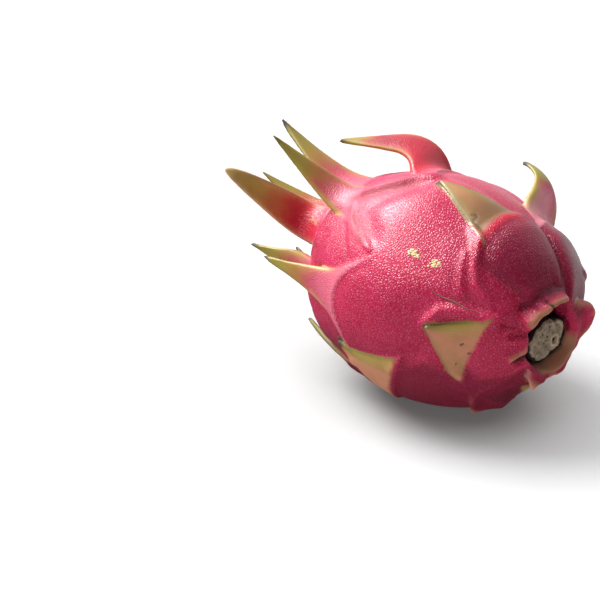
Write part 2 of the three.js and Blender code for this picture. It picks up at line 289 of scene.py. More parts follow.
@dataclass(frozen=True)
class Scale:
    """One leaf-like scale, in millimetres and degrees, from its root on the skin.

    lift turns the blade away from the skin and curl turns it back, between the shares of its length
    that lift_end, curl_start and curl_end give, and veer turns it sideways with the curl. gutter bends
    its cross-section towards the tip, twist turns it about its own middle, hook bends its very tip, and
    puff and spread scale its pillow's height and width. A blade that lies follows the skin instead.
    ripe_and_shade is how dark the pillow is painted: partly its own plum, partly painted shade.
    """

    station: float
    azimuth: float
    length: float
    width: float
    lift: float
    curl: float
    kind: Kind
    tint: Tint
    sway: float = 0.0
    lift_end: float = 0.6
    curl_start: float = 0.0
    curl_end: float = 1.0
    gutter: float = 0.02
    twist: float = 0.0
    hook: float = 0.0
    puff: float = 1.0
    spread: float = 1.0
    veer: float = 0.0
    lies: bool = False
    ripe_and_shade: float = 0.3

    @property
    def form(self) -> Form:
        """The form that the scale's kind has."""
        return self.kind.value

    def pillow(self, x: Array, azimuth: Array) -> Array:
        """Swollen base of the scale.

        Args:
            x: Stations.
            azimuth: Azimuths in radians.

        Returns:
            The share of the base's height at each place.
        """
        turn = azimuth - math.radians(self.azimuth)
        turn = np.arctan2(np.sin(turn), np.cos(turn))
        breadth = self.width * self.spread
        inside = np.clip(np.abs(turn) * float(LIE.radius(self.station)) / (0.5 * breadth), 0.0, 1.0)
        past = (x - self.station) * math.hypot(1.0, LIE.slope(self.station))
        past = past + self.form.inset * (1.0 - inside**2) - self.form.cup * inside**2
        full = smooth(PILLOW.crest_from, PILLOW.crest * breadth, past)
        dome = PILLOW.at_root + (1.0 - PILLOW.at_root) * full
        fade = 1.0 - smooth(PILLOW.fade[0] * breadth, PILLOW.fade[1] * breadth, past)
        step = smooth(*PILLOW.step, past)
        return (1.0 - inside**PILLOW.squareness) * dome * fade * step


SCALES: tuple[Scale, ...] = (
    Scale(52.6, 150, 7, 15, 24, 0, Kind.COLLAR, Tint.COLLAR, puff=0.0),
    Scale(53.2, 206, 5, 15, 30, 0, Kind.LOBE, Tint.LIP, puff=0.0),
    Scale(53.2, 284, 12.5, 22, 30, 0, Kind.LOBE, Tint.LIP, puff=0.0),
    Scale(
        26, 5, 29, 23, 4, -38, Kind.SHOULDER, Tint.OLIVE, sway=2, puff=1.2, spread=1.72, lies=True,
        ripe_and_shade=0.9,
    ),
    Scale(40, 88, 19.5, 28, 12, -26, Kind.FLAP, Tint.TAN, sway=-17, puff=0.8, lies=True, ripe_and_shade=0.1),
    Scale(41.5, 148, 11.5, 30, 14, -10, Kind.FLAP, Tint.ROSE, sway=6, puff=0.4, ripe_and_shade=0.7),
    Scale(44, 212, 20, 34, 10, -14, Kind.SHOULDER, Tint.TAN, puff=0.4, lies=True),
    Scale(40, 266, 30, 35, 18, -34, Kind.SHOULDER, Tint.OLIVE, puff=1.1, lies=True),
    Scale(
        27, 313, 37, 35, 60, -80, Kind.SPIKE, Tint.SPUR, lift_end=0.4, curl_start=0.2, hook=-10, puff=2.0,
        gutter=0.08, veer=6, twist=-18, ripe_and_shade=1.0,
    ),
    Scale(
        11, 123, 28, 34, 8, -28, Kind.FLAP, Tint.TAN, sway=-19, puff=0.6, spread=1.1, lies=True, ripe_and_shade=0.8,
    ),
    Scale(20, 232, 32, 38, 8, -26, Kind.SHOULDER, Tint.TAN, puff=0.8, lies=True),
    Scale(10, 276, 40, 42, 24, -44, Kind.SHOULDER, Tint.OLIVE),
    Scale(
        -14, -20, 48, 36, 54, -62, Kind.HORN, Tint.FLAME, lift_end=0.25, curl_start=0.15, curl_end=0.6,
        veer=35, twist=-40, puff=0.3,
    ),
    Scale(-28, 29, 47, 41, 69, -6, Kind.RIMMED, Tint.LEAF, lift_end=0.5, hook=8, spread=1.2, ripe_and_shade=0.0),
    Scale(-18, 84, 40, 40, 30, -18, Kind.BELT, Tint.LEAF, puff=0.8, spread=1.15),
    Scale(-16, 138, 32, 40, 12, -20, Kind.BELT, Tint.OLIVE, puff=0.4, spread=1.15),
    Scale(-24, 190, 28, 38, 8, -20, Kind.BELT, Tint.OLIVE, puff=0.4, spread=1.15),
    Scale(-18, 238, 36, 40, 20, -20, Kind.BELT, Tint.LEAF, puff=0.7, spread=1.15),
    Scale(-22, 290, 44, 42, 42, -20, Kind.BELT, Tint.LEAF, spread=1.15),
    Scale(-36, 4, 54, 28, 60, 0, Kind.BROAD, Tint.LEAF, puff=0.3, hook=10, lift_end=0.5, ripe_and_shade=0.1),
    Scale(-46, 29, 45, 22, 76, 0, Kind.CROWN, Tint.LEAF),
    Scale(-46, 49, 58, 17, 122, -14, Kind.CURLED, Tint.GUTTER, curl_start=0.5, gutter=-0.1, hook=-30),
    Scale(-40, 104, 44, 28, 42, 0, Kind.CROWN, Tint.LEAF),
    Scale(-42, 156, 36, 26, 18, 0, Kind.CROWN, Tint.LEAF, puff=0.5),
    Scale(-42, 214, 38, 26, 22, 0, Kind.CROWN, Tint.LEAF, puff=0.5),
    Scale(-40, 264, 46, 28, 46, 0, Kind.CROWN, Tint.LEAF),
    Scale(-38, 318, 46, 30, 48, 0, Kind.CROWN, Tint.FLAME),
    Scale(-52, 86, 24, 14, 20, 10, Kind.CROWN, Tint.LEAF),
    Scale(-52, 182, 22, 14, 15, 10, Kind.CROWN, Tint.LEAF),
    Scale(-52, 290, 26, 14, 25, 10, Kind.CROWN, Tint.LEAF),
)


@dataclass(frozen=True)
class Fold:
    """A ridge of the skin, or a groove where height is below 0, along stations and azimuths.

    tan is how brown it is rubbed, torn how dark it is where the skin broke, groove_shade how far a
    groove is darkened to a dark red as painted shade, and flush how bright a red it is.
    """

    path: Path
    height: float
    width: float
    tan: float = 0.0
    torn: float = 0.0
    groove_shade: float = 0.0
    flush: float = 0.0
    points_a_stretch: ClassVar[int] = 12
    widths_away: ClassVar[float] = 2.6
    end_taper: ClassVar[float] = 0.2

    def share(self, points: Array) -> Array:
        """Cross-section of the fold, dying away at its ends.

        Args:
            points: Points of the plain body in the fruit's own frame.

        Returns:
            The share of the fold's height at each point.
        """
        stations, azimuths = drawn_through(self.path, self.points_a_stretch * (len(self.path) - 1) + 1)
        line = on_body(stations, np.radians(azimuths))
        result = np.zeros(len(points))
        reach = self.widths_away * self.width
        low, high = line.min(axis=0) - reach, line.max(axis=0) + reach
        near = np.nonzero(np.all((points > low) & (points < high), axis=1))[0]
        if len(near) == 0:
            return result
        gaps = np.linalg.norm(points[near, None] - line[None], axis=2)
        place = gaps.argmin(axis=1)
        along = place / (len(line) - 1)
        taper = smooth(0.0, self.end_taper, along) * smooth(1.0, 1.0 - self.end_taper, along)
        result[near] = np.exp(-((gaps.min(axis=1) / self.width) ** 2)) * np.maximum(taper, 0.0)
        return result


FOLDS: tuple[Fold, ...] = (
    Fold(((-36, 20), (-26, 24), (-15, 14), (-9, 3), (-5, -8)), 1.6, 2.8),
    Fold(((-3, 3), (-8, 14), (-16, 28), (-19, 37), (-10, 47), (-1, 54)), -1.5, 4.2),
    # grooves below the crest at the broad scale's root, darkened as painted shade
    Fold(((-35, 31), (-27, 29), (-20, 23), (-14, 16), (-8, 5)), -0.9, 2.0, groove_shade=0.9),
    Fold(((-31, 34), (-25, 40), (-16, 48), (-8, 56)), -0.6, 1.8, groove_shade=0.7),
    Fold(((18, 16), (22, 20), (25, 24), (28, 30), (31, 39), (34, 46), (41, 53), (50, 50)), 1.4, 2.0),
    Fold(((24, 30), (26, 36), (28, 44), (30, 51), (34, 59)), 0.7, 1.6),
    Fold(((16.5, 14.5), (18.2, 12), (19.6, 13), (19.4, 16), (22, 17), (25.5, 19)), -0.3, 0.45, torn=0.5),
    Fold(
        ((28.5, 31), (26.6, 26), (25.7, 19), (25.6, 10), (25.0, 0), (26.5, -7), (31, -12)),
        0.2, 1.4, flush=0.75,
    ),
    Fold(((49.2, 20.5), (50.4, 19.5), (51.8, 18.5), (53, 18)), -1.4, 0.55, torn=0.7),
    Fold(((20, 18.5), (23, 20.5), (26, 22.5), (29, 26)), 0.8, 0.9, tan=0.9),
    Fold(((26, -24), (31, -21), (39, -21), (46, -18), (51, -12)), -0.7, 1.3),
    Fold(((22, 84), (24, 76), (27, 68), (31, 65), (38, 63), (42, 60), (50, 48)), 1.8, 2.2),
    Fold(((35, 110), (40, 108), (45, 107), (50, 106)), -0.7, 1.1),
    Fold(((33, 150), (36, 136), (40, 124), (47, 118), (53, 112)), 1.4, 2.0),
    Fold(((10, 116), (15, 106), (21, 102), (26, 99), (34, 102), (40, 114)), 1.3, 2.4),
    Fold(((49.2, 60), (50.4, 47), (50.8, 30), (51.0, 12), (51.2, -6), (51.4, -22)), 3.8, 2.6, tan=0.95),
    Fold(((47.2, 52), (47.8, 34), (48, 16), (48.3, -2), (49.2, -18)), -1.2, 1.8),
    Fold(((53, 82), (52.2, 83), (51, 86), (49, 91), (47, 94)), 1.6, 2.0, tan=0.7),
    Fold(((48.5, 96), (50, 97), (51.5, 98), (52.6, 98)), -2.4, 0.8, torn=0.8),
    Fold(((52.8, 60), (51.5, 63), (49, 67), (46, 70)), -1.4, 1.2),
    Fold(((50, 84), (51.5, 92), (52.5, 100), (52, 112)), -1.6, 4.5),
    Fold(((49, 140), (47, 158), (46, 178), (47, 200), (49, 225)), -4.2, 7.0),
)


@dataclass(frozen=True)
class Hollow:
    """A hollow at the stem end, 1, or the blossom end, -1, in millimetres.

    It is deepest out to floor and ends at rim. pinch narrows it on the side of an azimuth in degrees.
    """

    end: int
    depth: float
    floor: float
    rim: float
    pinch: float = 0.0
    narrow_side: float = 0.0

    def depth_at(self, distance: Array, azimuth: Array) -> Array:
        """Depth of the hollow at a distance from the axis and an azimuth in radians."""
        rim = self.rim - self.pinch * np.cos(azimuth - math.radians(self.narrow_side))
        return self.depth * (1.0 - smooth(self.floor, rim, distance))


STEM_PIT = Hollow(end=1, depth=7.5, floor=9.2, rim=13.4, pinch=2.6, narrow_side=210)
BLOSSOM_NAVEL = Hollow(end=-1, depth=6, floor=3, rim=11)


@dataclass(frozen=True)
class Lie:
    """The plain body and how it lies: a long ball with its stem end lower, in millimetres and degrees."""

    half_length: float = 54.8
    belly_radius: float = 42.8
    stem_drop: float = 4.4
    flat_depth: float = 0.2

    def radius(self, x: Array | float) -> Array | float:
        """Radius of the plain body at a station."""
        return self.belly_radius * np.sqrt(np.clip(1.0 - (x / self.half_length) ** 2, 0.0, None))

    def slope(self, x: Array | float) -> Array | float:
        """Slope of the plain body's outline at a station."""
        return -(self.belly_radius**2) * x / (self.half_length**2 * self.radius(x))

    def centre(self) -> Array:
        """Centre of the body, whose resting spot is at the origin.

        Returns:
            The centre in the row frame.
        """
        drop = math.radians(self.stem_drop)
        lowest = math.hypot(self.belly_radius * math.cos(drop), self.half_length * math.sin(drop))
        aside = (self.half_length**2 - self.belly_radius**2) * math.sin(drop) * math.cos(drop) / lowest
        return np.array([-aside, 0.0, lowest - self.flat_depth])

    def turn(self) -> Array:
        """Rotation from the fruit's own frame to the row frame."""
        cos, sin = math.cos(math.radians(self.stem_drop)), math.sin(math.radians(self.stem_drop))
        return np.array([[cos, 0.0, sin], [0.0, 1.0, 0.0], [-sin, 0.0, cos]])

    def to_row(self, points: Array) -> Array:
        """Points of the fruit's own frame, in the row frame."""
        return points @ self.turn().T + self.centre()

    def to_fruit(self, points: Array) -> Array:
        """Points of the row frame, in the fruit's own frame."""
        return (points - self.centre()) @ self.turn()


LIE = Lie()


@dataclass(frozen=True)
class SkinFrame:
    """A point on the plain body, with directions out of the skin, to the blossom end and round it."""

    point: Array
    outward: Array
    to_blossom: Array
    around: Array

    @classmethod
    def at(cls, station: float, azimuth: float) -> "SkinFrame":
        """Frame of one place of the plain body.

        Args:
            station: Station in millimetres.
            azimuth: Azimuth in degrees.

        Returns:
            The place's point and directions, in the fruit's own frame.
        """
        angle = math.radians(azimuth)
        radius, slope = float(LIE.radius(station)), LIE.slope(station)
        radial = np.array([0.0, -math.sin(angle), math.cos(angle)])
        axial = np.array([1.0, 0.0, 0.0])
        steepness = math.hypot(1.0, slope)
        return cls(
            point=station * axial + radius * radial,
            outward=(radial - slope * axial) / steepness,
            to_blossom=-(axial + slope * radial) / steepness,
            around=np.array([0.0, -math.cos(angle), -math.sin(angle)]),
        )


@dataclass
class Blade:
    """The blade of one scale as a closed mesh, with what each of its points is on the scale.

    Lengths are in millimetres, and spans and ends are shares of the blade's length. wave and roll bend
    its margins up and down, and the lying sizes and the gaps are those of a blade that lies on the skin.
    """

    scale: Scale
    number: int
    rings: int = 56
    sides: int = 44
    root_thickness: float = 3.4
    tip_thickness: float = 1.5
    edge_fullness: float = 0.55
    root_depth: float = 7.0
    corner_droop: float = 1.15
    least_bend_radius: float = 18.0
    wave: float = 0.5
    roll: float = 0.5
    roll_width: float = 2.0
    lying_thickness: float = 0.8
    lying_fullness: float = 1.2
    bed: float = 0.05
    tip_gap: float = 0.7
    lying_wave: float = 0.3
    tip_fullness: float = 1.6
    hook_from: float = 0.86
    twist_span: Range = (0.1, 0.65)
    cup_end: float = 0.6
    droop_end: float = 0.5
    gutter_span: Range = (0.2, 0.8)
    least_bend: float = 1e-4
    wave_rates: Range = (9.0, 8.0)
    wave_span: Range = (0.1, 0.35)
    roll_span: Range = (0.15, 0.55)
    root_rim: float = 9.0

    def half_width(self, along: Array) -> Array:
        """Outline of the blade.

        Args:
            along: Shares of its length.

        Returns:
            Half its width at each of them.
        """
        form = self.scale.form
        base = (1.0 - form.slender) * np.clip(1.0 - along, 0.0, 1.0) ** form.taper
        left = np.clip(1.0 - np.clip(along, 0.0, 1.0) ** self.tip_fullness, 0.0, 1.0)
        return 0.5 * self.scale.width * (base + form.slender * left**form.blunt)

    def midrib(self) -> tuple[Array, Array, Array, Array]:
        """Runs the blade's middle from root to tip.

        Returns:
            Points, normals and sides, one row for each ring, and the shares of the length.
        """
        scale = self.scale
        skin = SkinFrame.at(scale.station, scale.azimuth)
        sway = math.radians(scale.sway)
        heading = math.cos(sway) * skin.to_blossom + math.sin(sway) * skin.around
        along = np.linspace(0.0, 1.0, self.rings)
        middle = np.clip(along + 0.5 / (self.rings - 1), 0.0, 1.0)
        angle = np.radians(
            scale.lift * smooth(0.0, scale.lift_end, middle)
            + scale.curl * smooth(scale.curl_start, scale.curl_end, middle)
            + scale.hook * smooth(self.hook_from, 1.0, middle)
        )[:, None]
        forward = np.cos(angle) * heading + np.sin(angle) * skin.outward
        normal = np.cos(angle) * skin.outward - np.sin(angle) * heading
        side = np.cross(normal, forward)
        veer = np.radians(scale.veer) * smooth(scale.curl_start, scale.curl_end, middle)[:, None]
        forward = np.cos(veer) * forward + np.sin(veer) * side
        side = np.cross(normal, forward)
        steps = forward[:-1] * scale.length / (self.rings - 1)
        start = skin.point + scale.form.rise * skin.outward
        points = start + np.vstack([np.zeros(3), np.cumsum(steps, axis=0)])
        twist = np.radians(scale.twist) * smooth(*self.twist_span, along)[:, None]
        turned = np.cos(twist) * side + np.sin(twist) * normal
        return points, np.cross(forward, turned), turned, along

    def lay(self, lateral: Array, rise: Array, along: Array) -> tuple[Array, Array]:
        """Lays the blade on the skin round it.

        Args:
            lateral: Distances from the middle, a row for each ring.
            rise: Heights above the blade's middle surface, a row for each ring.
            along: Shares of the length.

        Returns:
            The rings' points and their outward normals.
        """
        scale = self.scale
        sway = math.radians(scale.sway)
        station, turn = scale.station, math.radians(scale.azimuth)
        stations, turns = [station], [turn]
        step = scale.length / (self.rings - 1)
        for _ in range(self.rings - 1):
            station -= math.cos(sway) * step / math.hypot(1.0, LIE.slope(station))
            turn += math.sin(sway) * step / float(LIE.radius(station))
            stations.append(station)
            turns.append(turn)
        x, turn = np.array(stations)[:, None], np.array(turns)[:, None]
        steepness = np.hypot(1.0, LIE.slope(x))
        cup = scale.form.cup * (1.0 - smooth(0.0, self.cup_end, along))[:, None]
        cup = cup * (lateral / (0.5 * scale.width)) ** 2
        x = x + (math.sin(sway) * lateral + cup) / steepness
        turn = turn + math.cos(sway) * lateral / LIE.radius(x)
        height = Flesh.relief(x.ravel(), turn.ravel(), skip=self.number).reshape(x.shape)
        gap = self.bed + self.tip_gap * along[:, None] ** 3
        surface = on_body(x, turn)
        normal = body_normals(surface)
        return surface + (height + gap + rise)[..., None] * normal, normal

    def mesh(self) -> tuple[Array, Array, dict[str, Array]]:
        """Builds the closed blade in the fruit's own frame.

        Returns:
            Points, quads and the points' facts: across, along, rim (distance to the margin) and the
            outer face's normal.
        """
        points, normal, side, along = self.midrib()
        turn = np.arange(self.sides) * 2.0 * math.pi / self.sides
        across, upward = np.cos(turn), np.sin(turn)
        half = self.half_width(along)[:, None]
        base_bend = self.corner_droop / max(self.least_bend_radius, float(LIE.radius(self.scale.station)))
        bend = base_bend * (1.0 - smooth(0.0, self.droop_end, along))
        bend = bend + self.scale.gutter * smooth(*self.gutter_span, along)
        bend = np.where(np.abs(bend) < self.least_bend, self.least_bend, bend)[:, None]
        lateral = half * across
        thickness = self.root_thickness + (self.tip_thickness - self.root_thickness) * along
        plain_rise = 0.5 * thickness[:, None] * np.sign(upward) * np.abs(upward) ** self.edge_fullness
        waving = self.waving(along, across)
        roll = np.exp(-((half * (1.0 - np.abs(across)) / self.roll_width) ** 2))
        roll = roll * np.where(upward >= 0.0, 1.0, -1.0)
        rise = plain_rise + waving + self.roll * roll * (1.0 - smooth(*self.roll_span, along))[:, None]
        rise = rise - (1.0 - np.cos(lateral * bend)) / bend
        sideways = np.sin(lateral * bend) / bend
        rings = points[:, None] + sideways[..., None] * side[:, None] + rise[..., None] * normal[:, None]
        forward = np.cross(side, normal)
        cup = self.scale.form.cup * (1.0 - smooth(0.0, self.cup_end, along))[:, None] * across**2
        rings = rings - cup[..., None] * forward[:, None]
        ring_normals = np.repeat(normal[:, None], self.sides, axis=1)
        if self.scale.lies:
            lens = 0.5 * thickness[:, None] * np.sign(upward) * np.abs(upward) ** self.lying_fullness
            lens = self.lying_thickness * lens + self.lying_wave * waving
            rings, ring_normals = self.lay(lateral, lens, along)
        skin = SkinFrame.at(self.scale.station, self.scale.azimuth)
        root = skin.point - self.root_depth * skin.outward
        tip = rings[-1].mean(axis=0)
        vertices = np.vstack([rings.reshape(-1, 3), root, tip])
        shape = np.ones((self.rings, self.sides))
        facts = {
            "across": np.append((shape * across).ravel(), [0.0, 0.0]),
            "along": np.append((shape * along[:, None]).ravel(), [0.0, 1.0]),
            "rim": np.append((half * (1.0 - np.abs(across))).ravel(), [self.root_rim, 0.0]),
            "normal": np.vstack([ring_normals.reshape(-1, 3), skin.outward, ring_normals[-1, 0]]),
        }
        return vertices, shell_quads(self.rings, self.sides), facts

    def waving(self, along: Array, across: Array) -> Array:
        """Waves of the two margins, each with a start of its own.

        Args:
            along: Shares of the length, one for each ring.
            across: Shares of the half width, one for each side.

        Returns:
            The heights of the waves, a row for each ring.
        """
        draw = np.random.default_rng(self.number)
        phase = draw.uniform(0.0, 2.0 * math.pi, 2)
        waves = np.sin(along * self.wave_rates[0] + phase[0])[:, None] * np.maximum(across, 0.0) ** 3
        waves += np.sin(along * self.wave_rates[1] + phase[1])[:, None] * np.maximum(-across, 0.0) ** 3
        return waves * (self.wave * smooth(*self.wave_span, along)[:, None])


GrownBlade = tuple[Array, Array, dict[str, Array]]


def read_rows(items: bpy.types.bpy_prop_collection, key: str) -> Array:
    """Vectors that a mesh holds.

    Args:
        items: Its points or their normals.
        key: Name of the vector.

    Returns:
        The vectors, one row each.
    """
    values = np.empty(3 * len(items), dtype=np.float32)
    items.foreach_get(key, values)
    return values.reshape(-1, 3)


def put(mesh: Mesh, name: str, values: Array) -> None:
    """Stores one number for each point of a mesh."""
    mesh.attributes.new(name, "FLOAT", "POINT").data.foreach_set("value", values.astype(np.float32))


@dataclass
class Flesh:
    """The body and its scales, grown together as one skin, in millimetres.

    voxel is the cell of the field that they grow in, and band how many cells it reaches to each side.
    The melts are how widely pillows run together, low and high ones, and the fillets how widely a blade
    runs into the body, at its margins and behind its root.
    """

    voxel: float = 0.5
    band: float = 7.0
    body_rings: int = 400
    body_sides: int = 540
    swell: float = 0.4
    swell_length: float = 34.0
    swell_seed: int = 5
    hollow_edge: float = 2.0
    low_melt: float = 0.5
    added_melt: float = 0.9
    melt_heights: Range = (0.3, 1.5)
    root_fillet: float = 3.0
    margin_fillet: float = 0.7
    root_span: Range = (-6.0, 2.0)
    socket_margin: float = 4.0
    face_limit: int = 190_000
    cavity_radius: float = 4.0
    cavity_spread: float = 1.7

    @classmethod
    def relief(cls, x: Array, azimuth: Array, skip: int = -1) -> Array:
        """Height of the skin above the plain body.

        Args:
            x: Stations.
            azimuth: Azimuths in radians.
            skip: Number of a scale whose pillow is left out.

        Returns:
            The height that the pillows and folds give.
        """
        height = np.zeros_like(x)
        for number, scale in enumerate(SCALES):
            if number == skip:
                continue
            pillow = scale.form.pillow * scale.puff * scale.pillow(x, azimuth)
            melt = cls.low_melt + cls.added_melt * smooth(*cls.melt_heights, np.minimum(height, pillow))
            height = -soft_min(-height, -pillow, melt)
        surface = on_body(x, azimuth)
        for fold in FOLDS:
            height = height + fold.height * fold.share(surface)
        return height

    def body(self) -> tuple[Array, Array]:
        """Makes the body without its scales.

        Returns:
            Points in the fruit's own frame, and quads.
        """
        polar = np.linspace(0.0, math.pi, self.body_rings + 2)[1:-1, None]
        azimuth = np.arange(self.body_sides)[None] * 2.0 * math.pi / self.body_sides
        x = (LIE.half_length * np.cos(polar) * np.ones_like(azimuth)).ravel()
        azimuth = (azimuth * np.ones_like(polar)).ravel()
        surface = on_body(x, azimuth)
        normal = body_normals(surface)
        height = self.relief(x, azimuth)
        height = height + self.swell * ripples(surface, self.swell_length, self.swell_seed)
        for hollow in (STEM_PIT, BLOSSOM_NAVEL):
            depth = np.where(x * hollow.end > 0, hollow.depth_at(LIE.radius(x), azimuth), 0.0)
            height = height * (1.0 - smooth(0.0, self.hollow_edge, depth))
            surface[:, 0] -= hollow.end * depth
        surface += height[:, None] * normal
        ends = [[h.end * (LIE.half_length - h.depth), 0.0, 0.0] for h in (STEM_PIT, BLOSSOM_NAVEL)]
        return np.vstack([surface, ends]), shell_quads(self.body_rings, self.body_sides)

    def level_set(self, points: Array, quads: Array) -> openvdb.FloatGrid:
        """Distance field of a closed mesh.

        Args:
            points: Points in the row frame, in millimetres.
            quads: Faces, of which triangles name their last point twice.

        Returns:
            The field, below 0 inside the mesh.
        """
        folded = quads[:, 2] == quads[:, 3]
        return openvdb.FloatGrid.createLevelSetFromPolygons(
            points.astype(np.float32),
            triangles=np.ascontiguousarray(quads[folded][:, :3]),
            quads=np.ascontiguousarray(quads[~folded]),
            transform=openvdb.createLinearTransform(self.voxel),
            halfWidth=self.band,
        )

    def fuse(self) -> tuple[Array, Array, list[GrownBlade]]:
        """Grows body and scales together in one field.

        Returns:
            The field, the voxel that its first cell stands for, and the blades in the row frame.
        """
        body_points, body_quads = self.body()
        body_points = LIE.to_row(body_points)
        blades = []
        for number, scale in enumerate(SCALES):
            points, quads, facts = Blade(scale, number).mesh()
            facts["scale"] = np.full(len(points), number)
            facts["normal"] = facts["normal"] @ LIE.turn().T
            blades.append((LIE.to_row(points), quads, facts))
        everything = np.vstack([body_points, *[blade[0] for blade in blades]])
        pad = int(self.band) + 2
        low = np.floor(everything.min(axis=0) / self.voxel).astype(int) - pad
        high = np.ceil(everything.max(axis=0) / self.voxel).astype(int) + pad
        field = np.empty(high - low, dtype=np.float32)
        self.level_set(body_points, body_quads).copyToArray(field, ijk=tuple(int(v) for v in low))
        for number, (points, quads, _) in enumerate(blades):
            first = np.floor(points.min(axis=0) / self.voxel).astype(int) - pad
            last = np.ceil(points.max(axis=0) / self.voxel).astype(int) + pad
            blade = np.empty(last - first, dtype=np.float32)
            self.level_set(points, quads).copyToArray(blade, ijk=tuple(int(v) for v in first))
            window = tuple(slice(a, b) for a, b in zip(first - low, last - low))
            field[window] = soft_min(field[window], blade, self.fillet(SCALES[number], first, last))
        return field, low, blades

    def fillet(self, scale: Scale, first: Array, last: Array) -> Array:
        """Width over which a blade melts into the body: wide behind its root, narrow at its margins.

        Args:
            scale: The blade's scale.
            first: First voxel of the blade's window of the field.
            last: Voxel just past the window.

        Returns:
            The width at each cell of the window.
        """
        skin = SkinFrame.at(scale.station, scale.azimuth)
        root = LIE.to_row(skin.point[None])[0]
        back = -(LIE.turn() @ skin.to_blossom)
        axes = [np.arange(a, b) * self.voxel - origin for a, b, origin in zip(first, last, root)]
        along_x, along_y, along_z = (axis * part for axis, part in zip(axes, back))
        behind = along_x[:, None, None] + along_y[None, :, None] + along_z[None, None]
        share = smooth(*self.root_span, behind)
        return (self.margin_fillet + (self.root_fillet - self.margin_fillet) * share).astype(np.float32)

    def trim(self, field: Array, low: Array, stub: "StemStub") -> Array:
        """Cuts the flat resting spot and the stub's socket out of the field.

        Args:
            field: The grown field.
            low: The voxel that its first cell stands for.
            stub: The stub that stands in the socket.

        Returns:
            The trimmed field.
        """
        x, y, z = ((start + np.arange(count)) * self.voxel for start, count in zip(low, field.shape))
        field = np.maximum(field, (-z)[None, None].astype(np.float32))
        below = LIE.to_row(np.array([[stub.root - self.socket_margin, 0.0, 0.0]]))
        near = np.nonzero(x > below[0, 0])[0]
        window = slice(near[0], near[-1] + 1)
        cells = np.stack(np.meshgrid(x[window], y, z, indexing="ij"), -1).reshape(-1, 3)
        socket = stub.distance(LIE.to_fruit(cells), stub.gap).reshape(field[window].shape)
        field[window] = np.maximum(field[window], -socket)
        return field

    def build(self, stub: "StemStub") -> Piece:
        """Makes the skin as one closed mesh with the marks that its finish reads.

        Args:
            stub: The stub that its socket is cut for.

        Returns:
            The skin.
        """
        field, low, blades = self.fuse()
        field = self.trim(field, low, stub)
        grid = openvdb.FloatGrid(float(self.band * self.voxel))
        grid.transform = openvdb.createLinearTransform(self.voxel)
        grid.copyFromArray(np.ascontiguousarray(field), ijk=tuple(int(v) for v in low))
        points, quads = grid.convertToQuads()
        skin = placed("fruit_skin", (points * MM).tolist(), faces=quads[:, ::-1].tolist())
        self.keep_largest(skin.data)
        thin = skin.modifiers.new("thin", "DECIMATE")
        thin.ratio = min(1.0, self.face_limit / (2.0 * len(skin.data.polygons)))
        bake_modifiers(skin)
        skin.data.shade_smooth()
        points = read_rows(skin.data.vertices, "co") / MM
        # how hollow the skin lies, which the finish paints as shade in hollows and as a highlight on crests
        put(skin.data, "cavity", self.cavity(field, low, points))
        SkinMarks().write(skin.data, points, blades)
        return skin

    @staticmethod
    def keep_largest(mesh: Mesh) -> None:
        """Drops loose scraps and closed hollows that the field may hold.

        Args:
            mesh: The grown skin, of which the largest connected shell stays.
        """
        edges = np.empty(2 * len(mesh.edges), dtype=np.int64)
        mesh.edges.foreach_get("vertices", edges)
        edges = edges.reshape(-1, 2)
        label = np.arange(len(mesh.vertices))
        while True:
            least = np.minimum(label[edges[:, 0]], label[edges[:, 1]])
            new = label.copy()
            np.minimum.at(new, edges[:, 0], least)
            np.minimum.at(new, edges[:, 1], least)
            new = new[new]
            if np.array_equal(new, label):
                break
            label = new
        names, sizes = np.unique(label, return_counts=True)
        if len(names) == 1:
            return
        keep = names[np.argmax(sizes)]
        work = bmesh.new()
        work.from_mesh(mesh)
        work.verts.ensure_lookup_table()
        bmesh.ops.delete(work, geom=[work.verts[i] for i in np.nonzero(label != keep)[0]], context="VERTS")
        work.to_mesh(mesh)
        work.free()

    def cavity(self, field: Array, low: Array, points: Array) -> Array:
        """How hollow the skin lies.

        Args:
            field: The grown field.
            low: The voxel that its first cell stands for.
            points: Points of the skin, in millimetres.

        Returns:
            The share of flesh round each point, over a half in hollows and under it on crests.
        """
        filled = (field < 0.0).astype(np.float32)
        reach = max(1, round(self.cavity_radius / self.voxel / self.cavity_spread))
        for _ in range(2):
            for axis in range(3):
                filled = box_blur(filled, reach, axis)
        place = np.clip(np.rint(points / self.voxel).astype(int) - low, 0, np.array(field.shape) - 1)
        return filled[place[:, 0], place[:, 1], place[:, 2]]


@dataclass
class BladePlaces:
    """Where each point of the skin lies on the scale next to it.

    number is the scale's place in SCALES, along and across are shares of its length and half width, rim
    is the distance to its margin in millimetres, and on_blade and inner are how far the point belongs to
    the blade and to its inner face.
    """

    number: Array
    along: Array
    across: Array
    rim: Array
    on_blade: Array
    inner: Array

    def size(self, key: str) -> Array:
        """One size of each point's scale."""
        return np.array([getattr(scale, key) for scale in SCALES])[self.number]

    def tint(self, key: str) -> Array:
        """One share of the colouring of each point's scale."""
        return np.array([getattr(scale.tint.value, key) for scale in SCALES])[self.number]


